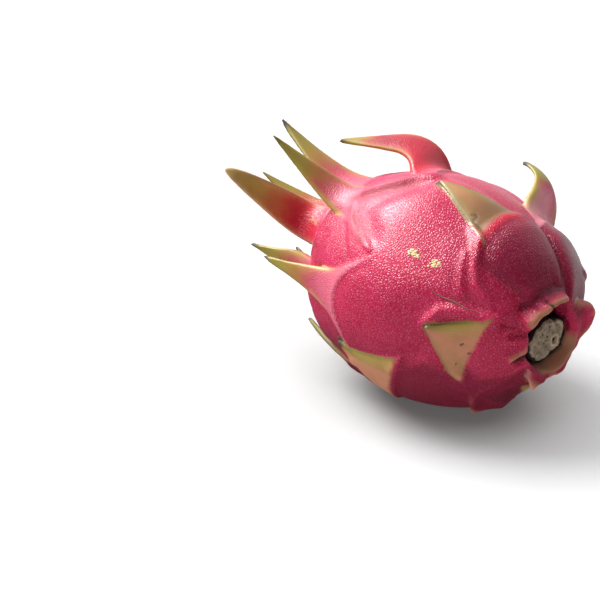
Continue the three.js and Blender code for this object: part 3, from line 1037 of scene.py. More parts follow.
@dataclass
class SkinMarks:
    """What each point of the grown skin is, stored on its mesh for the finish to read.

    A range is where a smooth step starts and ends. Ranges named along, rise and fall are shares of a
    scale's length, those named edge and across are shares of its half width, those named share are of a
    fold's height, and lengths, heights and radii are in millimetres. A slant is how much of along and of
    across a step reads.
    """

    blade_reach: float = 1.3
    rim_reach: float = 0.4
    reach_blur: float = 0.5
    inward_lengths: Range = (0.2, 2.0)
    tip_along: Range = (0.82, 0.92)
    tip_inward: float = 0.6
    wobble: float = 0.05
    wobble_length: float = 9.0
    wobble_seed: int = 11
    green_wobble: float = 2.0
    margin_edge: Range = (0.45, 0.95)
    margin_along: Range = (0.12, 0.4)
    lower_slant: Range = (0.6, -0.7)
    upper_slant: Range = (0.3, 0.8)
    slant_fade: Range = (0.3, 1.0)
    shade_across: Range = (0.2, 1.0)
    blush_rise: Range = (0.2, 0.42)
    blush_fall: Range = (0.85, 0.5)
    blush_edge: Range = (1.0, 0.25)
    rim_from: float = 0.04
    rim_width: float = 0.7
    root_fall: Range = (0.85, 0.15)
    inside_fall: Range = (0.7, 0.2)
    cheek_rise: Range = (0.0, 0.25)
    cheek_fall: Range = (0.62, 0.4)
    cheek_across: Range = (-0.7, 0.1)
    glow_rise: Range = (0.0, 0.2)
    glow_fall: Range = (0.65, 0.25)
    dry_length: float = 2.2
    dry_blur: float = 0.05
    dry_least_length: float = 17.0
    rubbed_share: Range = (0.3, 0.75)
    torn_share: Range = (0.1, 0.4)
    dull_widths: float = 3.0
    # heights where the underside's painted shade and dulled wax start and are full
    low_heights: Range = (46.0, 14.0)
    low_wobble: float = 2.0
    low_wobble_length: float = 30.0
    low_wobble_seed: int = 12
    blade_dulling: float = 0.15
    low_dulling: float = 0.5
    fold_dulling: float = 0.6
    bare_weight: float = 0.05
    bare_ripeness_and_shade: float = 0.015
    paleness: float = 0.48
    ripe_and_shade_loss: float = 0.38
    blade_loss: float = 0.85
    blade_loss_rise: Range = (0.0, 0.3)
    pit_station: float = 42.0
    pit_radii: Range = (13.0, 11.5)
    pit_azimuth: float = 205.0
    pit_side: Range = (0.2, 0.7)

    def write(self, mesh: Mesh, points: Array, blades: list[GrownBlade]) -> None:
        """Works out every mark and stores it.

        Args:
            mesh: The grown skin.
            points: Its points in millimetres.
            blades: The blades in the row frame.
        """
        places = self.places(points, read_rows(mesh.vertex_normals, "vector"), blades)
        own = LIE.to_fruit(points)
        from_axis = np.hypot(own[:, 1], own[:, 2])
        polar = np.arctan2(from_axis / LIE.belly_radius, own[:, 0] / LIE.half_length)
        turn = np.arctan2(-own[:, 1], own[:, 2])
        ring = LIE.belly_radius * np.sin(polar)
        plain = np.stack([LIE.half_length * np.cos(polar), -ring * np.sin(turn), ring * np.cos(turn)], -1)
        marks = self.on_blades(places, self.wobble * ripples(points, self.wobble_length, self.wobble_seed))
        folds = self.on_folds(plain)
        low_wobble = self.low_wobble * ripples(points, self.low_wobble_length, self.low_wobble_seed)
        # low is the underside, which the finish paints darker as painted shade and makes less waxy
        low = smooth(*self.low_heights, points[:, 2] + low_wobble)
        # partly the pillows' own plum, partly painted shade on pillows turned away from the light
        ripe_and_shade = self.ripeness_and_shade(plain[:, 0], turn)
        wax = (1.0 - self.blade_dulling * places.on_blade) * (1.0 - self.low_dulling * low)
        wax = wax * (1.0 - marks["dry"]) * (1.0 - self.fold_dulling * folds["dull"])
        smoothed = self.blade_loss * places.on_blade * smooth(*self.blade_loss_rise, places.along)
        wall = (own[:, 0] > self.pit_station) * smooth(*self.pit_radii, from_axis)
        wall = wall * smooth(*self.pit_side, np.cos(turn - math.radians(self.pit_azimuth)))
        marks |= {
            "low": low,
            "ripe_and_shade": ripe_and_shade,
            "matt": 1.0 - wax,
            "paleness": (self.paleness - self.ripe_and_shade_loss * ripe_and_shade) * (1.0 - smoothed),
            "torn": folds["torn"],
            "groove_shade": folds["groove_shade"],
            "flush": np.maximum(folds["flush"], marks["flush"]),
            "rubbed": np.maximum(folds["rubbed"] * (1.0 - places.on_blade), wall),
        }
        for name, values in marks.items():
            put(mesh, name, values)

    def places(self, points: Array, normals: Array, blades: list[GrownBlade]) -> BladePlaces:
        """Finds the place on a blade that is nearest to each point of the skin.

        Args:
            points: Points of the skin, in millimetres.
            normals: Its directions outward at the points.
            blades: The blades in the row frame.

        Returns:
            The places.
        """
        samples = np.vstack([blade[0] for blade in blades])
        facts = {key: np.concatenate([blade[2][key] for blade in blades]) for key in blades[0][2]}
        tree = KDTree(len(samples))
        for number, sample in enumerate(samples):
            tree.insert(sample, number)
        tree.balance()
        found = [tree.find(point) for point in points]
        nearest = np.array([hit[1] for hit in found])
        distance = np.array([hit[2] for hit in found])
        near = {key: values[nearest] for key, values in facts.items()}
        inward = smooth(*self.inward_lengths, near["rim"])
        inward = np.maximum(inward, self.tip_inward * smooth(*self.tip_along, near["along"]))
        reach = self.rim_reach + (self.blade_reach - self.rim_reach) * inward
        on_blade = smooth(reach + self.reach_blur, reach, distance)
        return BladePlaces(
            number=near["scale"].astype(int),
            along=near["along"],
            across=near["across"],
            rim=near["rim"],
            on_blade=on_blade,
            inner=(np.sum(near["normal"] * normals, axis=1) < 0.0) * on_blade,
        )

    def on_blades(self, places: BladePlaces, wobble: Array) -> dict[str, Array]:
        """Colouring of the scales.

        Args:
            places: Where the points lie on them.
            wobble: How far the borders of the colours wander at each point, in shares of the length.

        Returns:
            The marks by name.
        """
        tint, along, across, on_blade = places.tint, places.along, places.across, places.on_blade
        edge = np.abs(across)
        length = places.size("length")
        wandering = along + wobble
        span = tint("green_full") - tint("green_from")
        green = smooth(tint("green_from"), tint("green_full"), along + self.green_wobble * wobble * span)
        margin = tint("margins") * smooth(*self.margin_edge, edge) * smooth(*self.margin_along, along)
        lower = self.lower_slant[0] * along + self.lower_slant[1] * across
        lower = tint("lower") * smooth(*self.slant_fade, lower)
        upper = self.upper_slant[0] * along + self.upper_slant[1] * across
        upper = tint("upper") * smooth(*self.slant_fade, upper)
        blush = smooth(*self.blush_rise, wandering) * smooth(*self.blush_fall, wandering)
        blush = blush * smooth(*self.blush_edge, edge)
        rim = np.where(along > self.rim_from, np.exp(-places.rim / self.rim_width), 0.0) * on_blade
        dry_from = 1.0 - self.dry_length / length
        dry = smooth(dry_from - self.dry_blur, dry_from + self.dry_blur, wandering)
        # painted light: one side of the spur's base is painted pale as if lit
        lit_cheek = tint("lit_cheek") * on_blade * smooth(*self.cheek_rise, along) * smooth(*self.cheek_fall, along)
        lit_cheek = lit_cheek * smooth(*self.cheek_across, across)
        inside = tint("inside") * places.inner * smooth(*self.inside_fall, along)
        # partly the base's own red, partly a painted glow of light shining through the thin blade
        glow = smooth(*self.glow_fall, along) * smooth(*self.glow_rise, along)
        return {
            "green": np.maximum(green, margin) * on_blade,
            "tan": tint("tan") * on_blade * (1.0 - lower) * (1.0 - upper),
            "shade": tint("shade") * on_blade * smooth(*self.shade_across, -across),
            "blush": tint("blush") * blush * on_blade,
            "rim_pale": rim * np.clip(tint("rim"), 0.0, 1.0),
            "rim_dark": rim * np.clip(-tint("rim"), 0.0, 1.0),
            # darker brown towards the root: partly its own brown, partly painted shade where a lying flap
            # curves down
            "root_brown_and_shade": tint("root") * on_blade * smooth(*self.root_fall, wandering),
            "dry": tint("dry") * (dry * (length > self.dry_least_length)) * on_blade,
            # inner holds the pale inner faces and the painted light of lit_cheek
            "inner": np.maximum(inside, lit_cheek),
            "flush": tint("glow") * on_blade * glow,
            "tipward": along * on_blade * (1.0 - tint("light")),
            "grain_across": across * places.size("width") * 0.5 * on_blade,
            "grain_along": along * length * on_blade,
        }

    def on_folds(self, plain: Array) -> dict[str, Array]:
        """Colouring of the skin's folds.

        Args:
            plain: Points of the plain body below those of the skin, in the fruit's own frame.

        Returns:
            The marks by name.
        """
        marks = {name: np.zeros(len(plain)) for name in ("rubbed", "torn", "groove_shade", "flush", "dull")}
        for fold in FOLDS:
            if not (fold.tan or fold.torn or fold.groove_shade or fold.flush):
                continue
            share = fold.share(plain)
            found = {
                "rubbed": fold.tan * smooth(*self.rubbed_share, share),
                "torn": fold.torn * smooth(*self.torn_share, share),
                "groove_shade": fold.groove_shade * share,
                "flush": fold.flush * share,
            }
            if fold.groove_shade:
                found["dull"] = replace(fold, width=self.dull_widths * fold.width).share(plain)
            for name, values in found.items():
                marks[name] = np.maximum(marks[name], values)
        return marks

    def ripeness_and_shade(self, x: Array, azimuth: Array) -> Array:
        """Plum and painted shade of the pillows, as a mean where they run into each other.

        Args:
            x: Stations.
            azimuth: Azimuths in radians.

        Returns:
            How dark each place is painted.
        """
        weight, ripe_and_shade = np.full(len(x), self.bare_weight), np.full(len(x), self.bare_ripeness_and_shade)
        for scale in SCALES:
            if scale.puff > 0.0:
                share = scale.pillow(x, azimuth) ** 2
                weight, ripe_and_shade = weight + share, ripe_and_shade + share * scale.ripe_and_shade
        return ripe_and_shade / weight


def box_blur(field: Array, reach: int, axis: int) -> Array:
    """Blurs a field along one axis.

    Args:
        field: The field.
        reach: How many cells the blur takes in on each side.
        axis: The axis.

    Returns:
        The mean of the cells round each cell.
    """
    pad = [(0, 0)] * 3
    pad[axis] = (reach + 1, reach)
    total = np.cumsum(np.pad(field, pad, mode="edge"), axis=axis, dtype=np.float32)
    count = field.shape[axis]
    upper = np.take(total, np.arange(2 * reach + 1, 2 * reach + 1 + count), axis=axis)
    lower = np.take(total, np.arange(count), axis=axis)
    return (upper - lower) / (2 * reach + 1)


def bake_modifiers(piece: Piece) -> None:
    """Turns an object's modifiers into plain mesh.

    Args:
        piece: The object, which is left without modifiers.
    """
    graph = bpy.context.evaluated_depsgraph_get()
    graph.update()
    mesh = bpy.data.meshes.new_from_object(piece.evaluated_get(graph))
    piece.modifiers.clear()
    old = piece.data
    piece.data = mesh
    bpy.data.meshes.remove(old)
    mesh.name = piece.name


@dataclass
class StemStub:
    """The cut end of the woody stem, in millimetres along the fruit's axis.

    The cut face has a raised ring round a sunken core, small pits, a grain of ripples, a raised lip and
    a black rim with a pale band inside it. The rim is painted wider on the side away from the light as
    painted shadow, the band is strongest there, and the pits and the core are painted dark as painted
    shade. Rims, bands and lips are placed in shares of the way from the axis to the outline. A pit is
    (sideways, upward, size), a grain (height, wavelength, seed) and a fibre (height, count round the
    wall, phase).
    """

    radius: float = 9.7
    flare: float = 1.3
    lean: float = 0.7
    ridge: float = 0.3
    face: float = 51.6
    root: float = 41.0
    gap: float = 0.3
    sides: int = 200
    face_rings: int = 64
    wall_rings: int = 40
    ring_place: tuple[float, float] = (2.6, -0.6)
    ring_radius: float = 1.9
    ring_width: float = 0.55
    ring_squash: float = 0.85
    ring_height: float = 0.9
    core_gap: float = 0.3
    core_radius: float = 0.5
    pit_depth: float = 1.3
    pit_squash: float = 0.7
    pits: tuple[tuple[float, float, float], ...] = (
        (-1.2, 1.2, 0.5),
        (-1.5, 0.2, 0.45),
        (-2.3, -1.0, 0.4),
        (-3.7, 3.3, 0.35),
        (4.6, 3.6, 0.4),
        (-0.1, 5.2, 0.4),
        (-4.8, -3.2, 0.3),
        (1.2, -4.6, 0.35),
    )
    grains: tuple[tuple[float, float, int], ...] = ((0.25, 3.0, 22), (0.12, 1.2, 23))
    shaded_turn: float = 0.9
    rim_from: float = 0.96
    rim_shade: float = 0.25
    rim_ragged: float = 0.03
    rim_ragged_length: float = 4.0
    rim_seed: int = 21
    rim_blur: float = 0.05
    band: float = 0.7
    band_inset: float = 0.06
    band_width: float = 0.04
    edge_drop: float = 0.8
    edge_from: float = 0.90
    lip_height: float = 0.35
    lip_place: float = 0.84
    lip_width: float = 0.05
    fibres: tuple[tuple[float, float, float], ...] = ((0.12, 46.0, 0.0), (0.1, 29.0, 1.0))
    fibre_limits: Range = (-0.25, 0.15)
    fibre_onset: float = 6.0
    wall_inset: float = 0.15

    def outline(self, turn: Array) -> Array:
        """Radius of the stub at a turn round the axis."""
        swell = self.flare * np.cos(2.0 * turn) + self.lean * np.cos(turn) + self.ridge * np.cos(5.0 * turn)
        return self.radius + swell

    def distance(self, points: Array, grow: float) -> Array:
        """Rough distance to the stub.

        Args:
            points: Points in the fruit's own frame.
            grow: Gap that the stub is grown by.

        Returns:
            The distance of each point, below 0 inside the grown stub.
        """
        turn = np.arctan2(points[:, 2], -points[:, 1])
        sideways = np.hypot(points[:, 1], points[:, 2]) - self.outline(turn) - grow
        return np.maximum(sideways, self.root - grow - points[:, 0]).astype(np.float32)

    def relief(self, y: Array, z: Array, share: Array) -> tuple[Array, dict[str, Array]]:
        """Relief of the cut face.

        Args:
            y: Sideways places on the face.
            z: Upward places on the face.
            share: Shares of the way from the axis to the outline.

        Returns:
            Heights, and how much each place belongs to the pale ring, the pits' painted shade and the black
            rim with its painted shadow.
        """
        flat = np.stack([np.zeros_like(y), y, z], -1)
        from_ring = np.hypot(y - self.ring_place[0], (z - self.ring_place[1]) * self.ring_squash)
        ring = np.exp(-(((from_ring - self.ring_radius) / self.ring_width) ** 2))
        # the core and the pits sink, and the finish paints them dark as painted shade
        hollow = smooth(self.ring_radius - self.core_gap, self.core_radius, from_ring)
        for pit_y, pit_z, size in self.pits:
            from_pit = np.hypot(y - pit_y, (z - pit_z) * self.pit_squash)
            hollow = np.maximum(hollow, np.exp(-((from_pit / size) ** 2)))
        # painted shadow: the black rim widens on the side away from the light, where the pale band is
        # strongest too
        shaded = 0.5 + 0.5 * np.cos(np.arctan2(z, y) + self.shaded_turn)
        ragged = self.rim_ragged * ripples(flat, self.rim_ragged_length, self.rim_seed)
        past_rim = share - (self.rim_from - self.rim_shade * shaded - ragged)
        rim = smooth(0.0, self.rim_blur, past_rim)
        band = self.band * shaded * np.exp(-(((past_rim + self.band_inset) / self.band_width) ** 2))
        lip = self.lip_height * np.exp(-(((share - self.lip_place) / self.lip_width) ** 2))
        height = sum(rise * ripples(flat, length, seed) for rise, length, seed in self.grains)
        height = height + self.ring_height * ring - self.pit_depth * hollow
        height = height - self.edge_drop * smooth(self.edge_from, 1.0, share) + lip
        return height, {"ring": np.maximum(ring, band), "pit": hollow, "dark_rim_and_shadow": rim}

    def build(self) -> Piece:
        """Makes the stub as one closed mesh.

        Returns:
            The stub.
        """
        turn = np.arange(self.sides) * 2.0 * math.pi / self.sides
        outline = self.outline(turn)
        shares = np.linspace(1.0 / self.face_rings, 1.0, self.face_rings)[:, None]
        radii = shares * outline
        y, z = (-radii * np.cos(turn)).ravel(), (radii * np.sin(turn)).ravel()
        height, facts = self.relief(y, z, (shares * np.ones_like(turn)).ravel())
        face = np.stack([self.face + height, y, z], -1)
        depth = np.linspace(0.0, 1.0, self.wall_rings + 1)[1:, None]
        last_ring = face[-self.sides:]
        wall_x = last_ring[:, 0] + (self.root - last_ring[:, 0]) * depth
        fibres = sum(rise * np.cos(turn * count + phase) for rise, count, phase in self.fibres)
        fibres = np.clip(np.minimum(1.0, self.fibre_onset * depth) * fibres, *self.fibre_limits)
        wall_r = outline - self.wall_inset + fibres
        wall = np.stack([wall_x, -wall_r * np.cos(turn), wall_r * np.sin(turn)], -1).reshape(-1, 3)
        middle, _ = self.relief(np.zeros(1), np.zeros(1), np.zeros(1))
        points = np.vstack([face, wall, [[self.face + middle[0], 0.0, 0.0]], [[self.root, 0.0, 0.0]]])
        quads = shell_quads(self.face_rings + self.wall_rings, self.sides).tolist()
        faces = [list(dict.fromkeys(quad)) for quad in quads]
        stub = placed("stem_cork", (LIE.to_row(points) * MM).tolist(), faces=faces)
        stub.data.shade_smooth()
        for name, values in facts.items():
            rest = np.full(len(points) - len(values), 1.0 if name == "dark_rim_and_shadow" else 0.0)
            put(stub.data, name, np.concatenate([values, rest]))
        return stub


RAY_HEIGHT = 12.0


def skin_point(tree: BVHTree, station: float, azimuth: float) -> tuple[Vector, Vector]:
    """Point and outward normal of the grown skin over a place of the plain body, in metres.

    Args:
        tree: The skin's faces.
        station: Station in millimetres.
        azimuth: Azimuth in degrees.

    Returns:
        The point and the normal, in the row frame.
    """
    skin = SkinFrame.at(station, azimuth)
    outward = Vector(LIE.turn() @ skin.outward)
    start = Vector(LIE.to_row((skin.point + RAY_HEIGHT * skin.outward)[None])[0] * MM)
    place, normal, _, _ = tree.ray_cast(start, -outward)
    return place, normal


class NodeTree:
    """A Geometry Nodes tree on one object, with named inputs."""

    def __init__(self, piece: Piece, name: str) -> None:
        """Starts a tree that takes in and gives out geometry.

        Args:
            piece: The object that it runs on.
            name: The tree's name.
        """
        self.piece = piece
        self.tree = bpy.data.node_groups.new(name, "GeometryNodeTree")
        self.tree.interface.new_socket("Geometry", in_out="INPUT", socket_type="NodeSocketGeometry")
        self.tree.interface.new_socket("Geometry", in_out="OUTPUT", socket_type="NodeSocketGeometry")
        self.values: dict[str, object] = {}
        self.start = self.tree.nodes.new("NodeGroupInput")
        self.end = self.tree.nodes.new("NodeGroupOutput")

    def given(self, name: str, value: float | int) -> Socket:
        """Adds a named input.

        Args:
            name: The input's name.
            value: Its value on this object.

        Returns:
            The socket that gives the value inside the tree.
        """
        kind = "NodeSocketInt" if isinstance(value, int) else "NodeSocketFloat"
        socket = self.tree.interface.new_socket(name, in_out="INPUT", socket_type=kind)
        self.values[socket.identifier] = value
        return next(s for s in self.start.outputs if s.identifier == socket.identifier)

    def add(self, kind: str, links: dict[object, object], **settings: object) -> Node:
        """Adds a node.

        Args:
            kind: The node's type.
            links: What feeds its inputs, sockets or plain values, by name or number.
            **settings: The node's own properties.

        Returns:
            The node.
        """
        node = self.tree.nodes.new(kind)
        for key, value in settings.items():
            setattr(node, key, value)
        for key, value in links.items():
            if isinstance(value, Socket):
                self.tree.links.new(value, node.inputs[key])
            else:
                node.inputs[key].default_value = value
        return node

    def bake(self, geometry: Socket, material: Material) -> None:
        """Ends the tree, runs it on its object and leaves plain mesh.

        Args:
            geometry: The socket that gives the finished shape.
            material: The finish that it wears.
        """
        real = self.add("GeometryNodeRealizeInstances", {0: geometry})
        dressed = self.add("GeometryNodeSetMaterial", {"Geometry": real.outputs[0], "Material": material})
        self.tree.links.new(dressed.outputs[0], self.end.inputs[0])
        run = self.piece.modifiers.new(self.tree.name, "NODES")
        run.node_group = self.tree
        for identifier, value in self.values.items():
            run[identifier] = value
        bake_modifiers(self.piece)


ScabPlace = tuple[float, float, float, float, float]
SCABS: tuple[ScabPlace, ...] = (
    (10.2, 47.1, 2.5, 1.2, 55.0),
    (18.9, 46.8, 2.4, 1.5, 30.0),
    (33.0, 60.5, 1.0, 0.5, 80.0),
    (6.0, 205.0, 2.2, 1.2, 10.0),
    (-4.0, 262.0, 1.8, 0.9, 70.0),
)
SPECKS: tuple[ScabPlace, ...] = (
    (36.3, 83.0, 0.6, 0.5, 0.0),
    (38.6, 88.4, 0.8, 0.35, 20.0),
    (35.2, 97.4, 0.5, 0.4, 0.0),
    (12.0, 214.0, 0.5, 0.4, 0.0),
    (30.0, 262.0, 0.6, 0.3, 40.0),
)


@dataclass
class Scabs:
    """Corky scabs on the skin, made of overlapping flakes.

    A place is (station, azimuth, half length, half width, lean), in millimetres and degrees. flake is the
    radius of a flake in metres, crowding is how many there are on a square metre, and flake_sizes are the
    shares of the radius that they vary between.
    """

    name: str
    places: tuple[ScabPlace, ...]
    flake: float = 0.00055
    crowding: float = 2_600_000.0
    flake_shape: tuple[float, float, float] = (1.0, 0.8, 0.45)
    flake_sizes: Range = (0.5, 1.2)
    flake_detail: int = 2
    seed: int = 7
    sides: int = 14
    lobes: float = 3.0
    lobe_depth: float = 0.25

    def patches(self, tree: BVHTree) -> Piece:
        """Lays an oval patch with a ragged outline on the skin for each scab.

        Args:
            tree: The skin's faces.

        Returns:
            The patches as one object.
        """
        points, faces = [], []
        for station, azimuth, half_length, half_width, lean in self.places:
            first = len(points)
            centre, normal = skin_point(tree, station, azimuth)
            across = normal.orthogonal().normalized()
            along = normal.cross(across)
            tilt = math.radians(lean)
            points.append(centre)
            for number in range(self.sides):
                turn = 2.0 * math.pi * number / self.sides
                ragged = 1.0 + self.lobe_depth * math.sin(self.lobes * turn + station)
                one, two = half_length * math.cos(turn) * ragged, half_width * math.sin(turn) * ragged
                aside = across * (one * math.cos(tilt) - two * math.sin(tilt))
                ahead = along * (one * math.sin(tilt) + two * math.cos(tilt))
                place, _, _, _ = tree.find_nearest(centre + (aside + ahead) * MM)
                points.append(place)
                faces.append((first, first + 1 + number, first + 1 + (number + 1) % self.sides))
        return placed(self.name, points, faces=faces)

    def build(self, tree: BVHTree, material: Material) -> Piece:
        """Covers the patches with flakes.

        Args:
            tree: The skin's faces.
            material: The flakes' finish.

        Returns:
            The scabs as one object.
        """
        piece = self.patches(tree)
        nodes = NodeTree(piece, "corky_flakes")
        spread = nodes.add(
            "GeometryNodeDistributePointsOnFaces",
            {
                "Mesh": nodes.start.outputs[0],
                "Density": nodes.given("Flakes per square metre", self.crowding),
                "Seed": nodes.given("Seed", self.seed),
            },
        )
        ball = nodes.add(
            "GeometryNodeMeshIcoSphere",
            {"Radius": nodes.given("Flake radius", self.flake), "Subdivisions": self.flake_detail},
        )
        thin = nodes.add("GeometryNodeTransform", {"Geometry": ball.outputs[0], "Scale": self.flake_shape})
        least, most = self.flake_sizes
        size = nodes.add(
            "FunctionNodeRandomValue", {2: least, 3: most, "Seed": self.seed + 1}, data_type="FLOAT"
        )
        laid = nodes.add(
            "GeometryNodeInstanceOnPoints",
            {
                "Points": spread.outputs["Points"],
                "Instance": thin.outputs[0],
                "Rotation": spread.outputs["Rotation"],
                "Scale": size.outputs[1],
            },
        )
        nodes.bake(laid.outputs[0], material)
        piece.data.shade_smooth()
        return piece


@dataclass
class Scar:
    """A thin healed scratch: a cord that follows the skin and tapers to a share of its radius, in metres.

    The path is of stations in millimetres and azimuths in degrees.
    """

    path: Path = ((22.1, 59.7), (26.0, 60.6), (30.0, 60.2), (34.0, 61.2), (38.2, 60.7))
    radius: float = 0.00032
    end_share: float = 0.25
    taper_reach: float = 0.4
    points: int = 40
    sides: int = 8

    def build(self, tree: BVHTree, material: Material) -> Piece:
        """Sweeps the scar along the skin.

        Args:
            tree: The skin's faces.
            material: The scar's finish.

        Returns:
            The scar.
        """
        line = [skin_point(tree, x, a)[0] for x, a in zip(*drawn_through(self.path, self.points))]
        piece = placed("skin_scar", line, edges=[(n, n + 1) for n in range(len(line) - 1)])
        nodes = NodeTree(piece, "swept_scar")
        curve = nodes.add("GeometryNodeMeshToCurve", {"Mesh": nodes.start.outputs[0]})
        place = nodes.add("GeometryNodeSplineParameter", {})
        from_end = nodes.add("ShaderNodeMath", {0: 1.0, 1: place.outputs["Factor"]}, operation="SUBTRACT")
        nearer = nodes.add(
            "ShaderNodeMath", {0: place.outputs["Factor"], 1: from_end.outputs[0]}, operation="MINIMUM"
        )
        taper = nodes.add(
            "ShaderNodeMapRange",
            {
                "Value": nearer.outputs[0],
                "From Max": self.taper_reach,
                "To Min": nodes.given("End share", self.end_share),
            },
        )
        ring = nodes.add(
            "GeometryNodeCurvePrimitiveCircle",
            {"Resolution": nodes.given("Sides", self.sides), "Radius": nodes.given("Radius", self.radius)},
        )
        tube = nodes.add(
            "GeometryNodeCurveToMesh",
            {
                "Curve": curve.outputs[0],
                "Profile Curve": ring.outputs[0],
                "Fill Caps": True,
                "Scale": taper.outputs[0],
            },
        )
        nodes.bake(tube.outputs[0], material)
        piece.data.shade_smooth()
        return piece


class Shader:
    """A material's nodes, with a short call for each kind that these finishes use.

    A value given to a call is a socket to link or a plain value to set. The mix node's sockets for colours
    share their names with others, so they go by number.
    """

    mix_colours: ClassVar[tuple[int, int]] = (6, 7)
    mix_result: ClassVar[int] = 2

    def __init__(self, name: str) -> None:
        """Starts a material with a single surface shader.

        Args:
            name: The material's name.
        """
        self.material = bpy.data.materials.new(name)
        self.material.use_nodes = True
        self.tree = self.material.node_tree
        self.surface = self.tree.nodes["Principled BSDF"]

    def add(self, kind: str, **settings: object) -> Node:
        """Adds a node.

        Args:
            kind: The node's type.
            **settings: Its own properties.

        Returns:
            The node.
        """
        node = self.tree.nodes.new(kind)
        for key, value in settings.items():
            setattr(node, key, value)
        return node

    def feed(self, socket: Socket, value: object) -> None:
        """Links a socket to another, or sets its value.

        Args:
            socket: The socket to feed.
            value: What feeds it.
        """
        if isinstance(value, Socket):
            self.tree.links.new(value, socket)
        elif isinstance(value, tuple) and len(value) == 3 and socket.type == "RGBA":
            socket.default_value = (*value, 1.0)
        else:
            socket.default_value = value

    def place(self) -> Socket:
        """Object coordinates."""
        return self.add("ShaderNodeTexCoord").outputs["Object"]

    def fact(self, name: str) -> Socket:
        """A number stored on the mesh."""
        return self.add("ShaderNodeAttribute", attribute_name=name).outputs["Fac"]

    def noise(
        self, place: object, size: float, detail: float = 3.0, rough: float = 0.55
    ) -> Socket:
        """Cloudy noise.

        Args:
            place: Where it is read.
            size: Size of its features, in the units of the place.
            detail: How many finer noises it holds.
            rough: How strong they are.

        Returns:
            The noise, from 0 to 1.
        """
        node = self.add("ShaderNodeTexNoise")
        self.feed(node.inputs["Vector"], place)
        self.feed(node.inputs["Scale"], 1.0 / size)
        self.feed(node.inputs["Detail"], detail)
        self.feed(node.inputs["Roughness"], rough)
        return node.outputs["Fac"]

    def cells(self, place: object, size: float) -> Socket:
        """Irregular cells.

        Args:
            place: Where they are read.
            size: Their size, in the units of the place.

        Returns:
            The distance to their borders, in sizes.
        """
        node = self.add("ShaderNodeTexVoronoi", feature="DISTANCE_TO_EDGE")
        self.feed(node.inputs["Vector"], place)
        self.feed(node.inputs["Scale"], 1.0 / size)
        return node.outputs["Distance"]

    def sums(self, kind: str, one: object, other: object) -> Socket:
        """Sum of two numbers.

        Args:
            kind: The kind of sum, as the math node names it.
            one: First number.
            other: Second number.

        Returns:
            The result.
        """
        node = self.add("ShaderNodeMath", operation=kind)
        self.feed(node.inputs[0], one)
        self.feed(node.inputs[1], other)
        return node.outputs[0]

    def step(self, value: object, low: float, high: float, top: float = 1.0) -> Socket:
        """Smooth step.

        Args:
            value: Where it is read.
            low: Value where it starts from 0.
            high: Value where it ends.
            top: Its height there.

        Returns:
            The step's height.
        """
        node = self.add("ShaderNodeMapRange", interpolation_type="SMOOTHSTEP")
        for key, number in (("From Min", low), ("From Max", high), ("To Max", top)):
            self.feed(node.inputs[key], number)
        self.feed(node.inputs["Value"], value)
        return node.outputs["Result"]

    def blend(self, share: object, one: object, other: object) -> Socket:
        """Mix of two colours.

        Args:
            share: Share of the second one.
            one: First colour.
            other: Second colour.

        Returns:
            The mix.
        """
        node = self.add("ShaderNodeMix", data_type="RGBA")
        self.feed(node.inputs[0], share)
        for number, colour in zip(self.mix_colours, (one, other)):
            self.feed(node.inputs[number], colour)
        return node.outputs[self.mix_result]

    def bump(self, height: object, depth: float) -> Socket:
        """Bumps of the surface.

        Args:
            height: Their height, from 0 to 1.
            depth: What a height of 1 is in metres.

        Returns:
            The bumped normal.
        """
        node = self.add("ShaderNodeBump")
        self.feed(node.inputs["Strength"], 1.0)
        self.feed(node.inputs["Distance"], depth)
        self.feed(node.inputs["Height"], height)
        return node.outputs["Normal"]

    def finish(self, **sockets: object) -> Material:
        """Sets or links the surface shader's own sockets.

        Args:
            **sockets: Values by the sockets' names, with underscores for blanks.

        Returns:
            The material.
        """
        for key, value in sockets.items():
            self.feed(self.surface.inputs[key.replace("_", " ")], value)
        return self.material


Step = tuple[float, float, float]


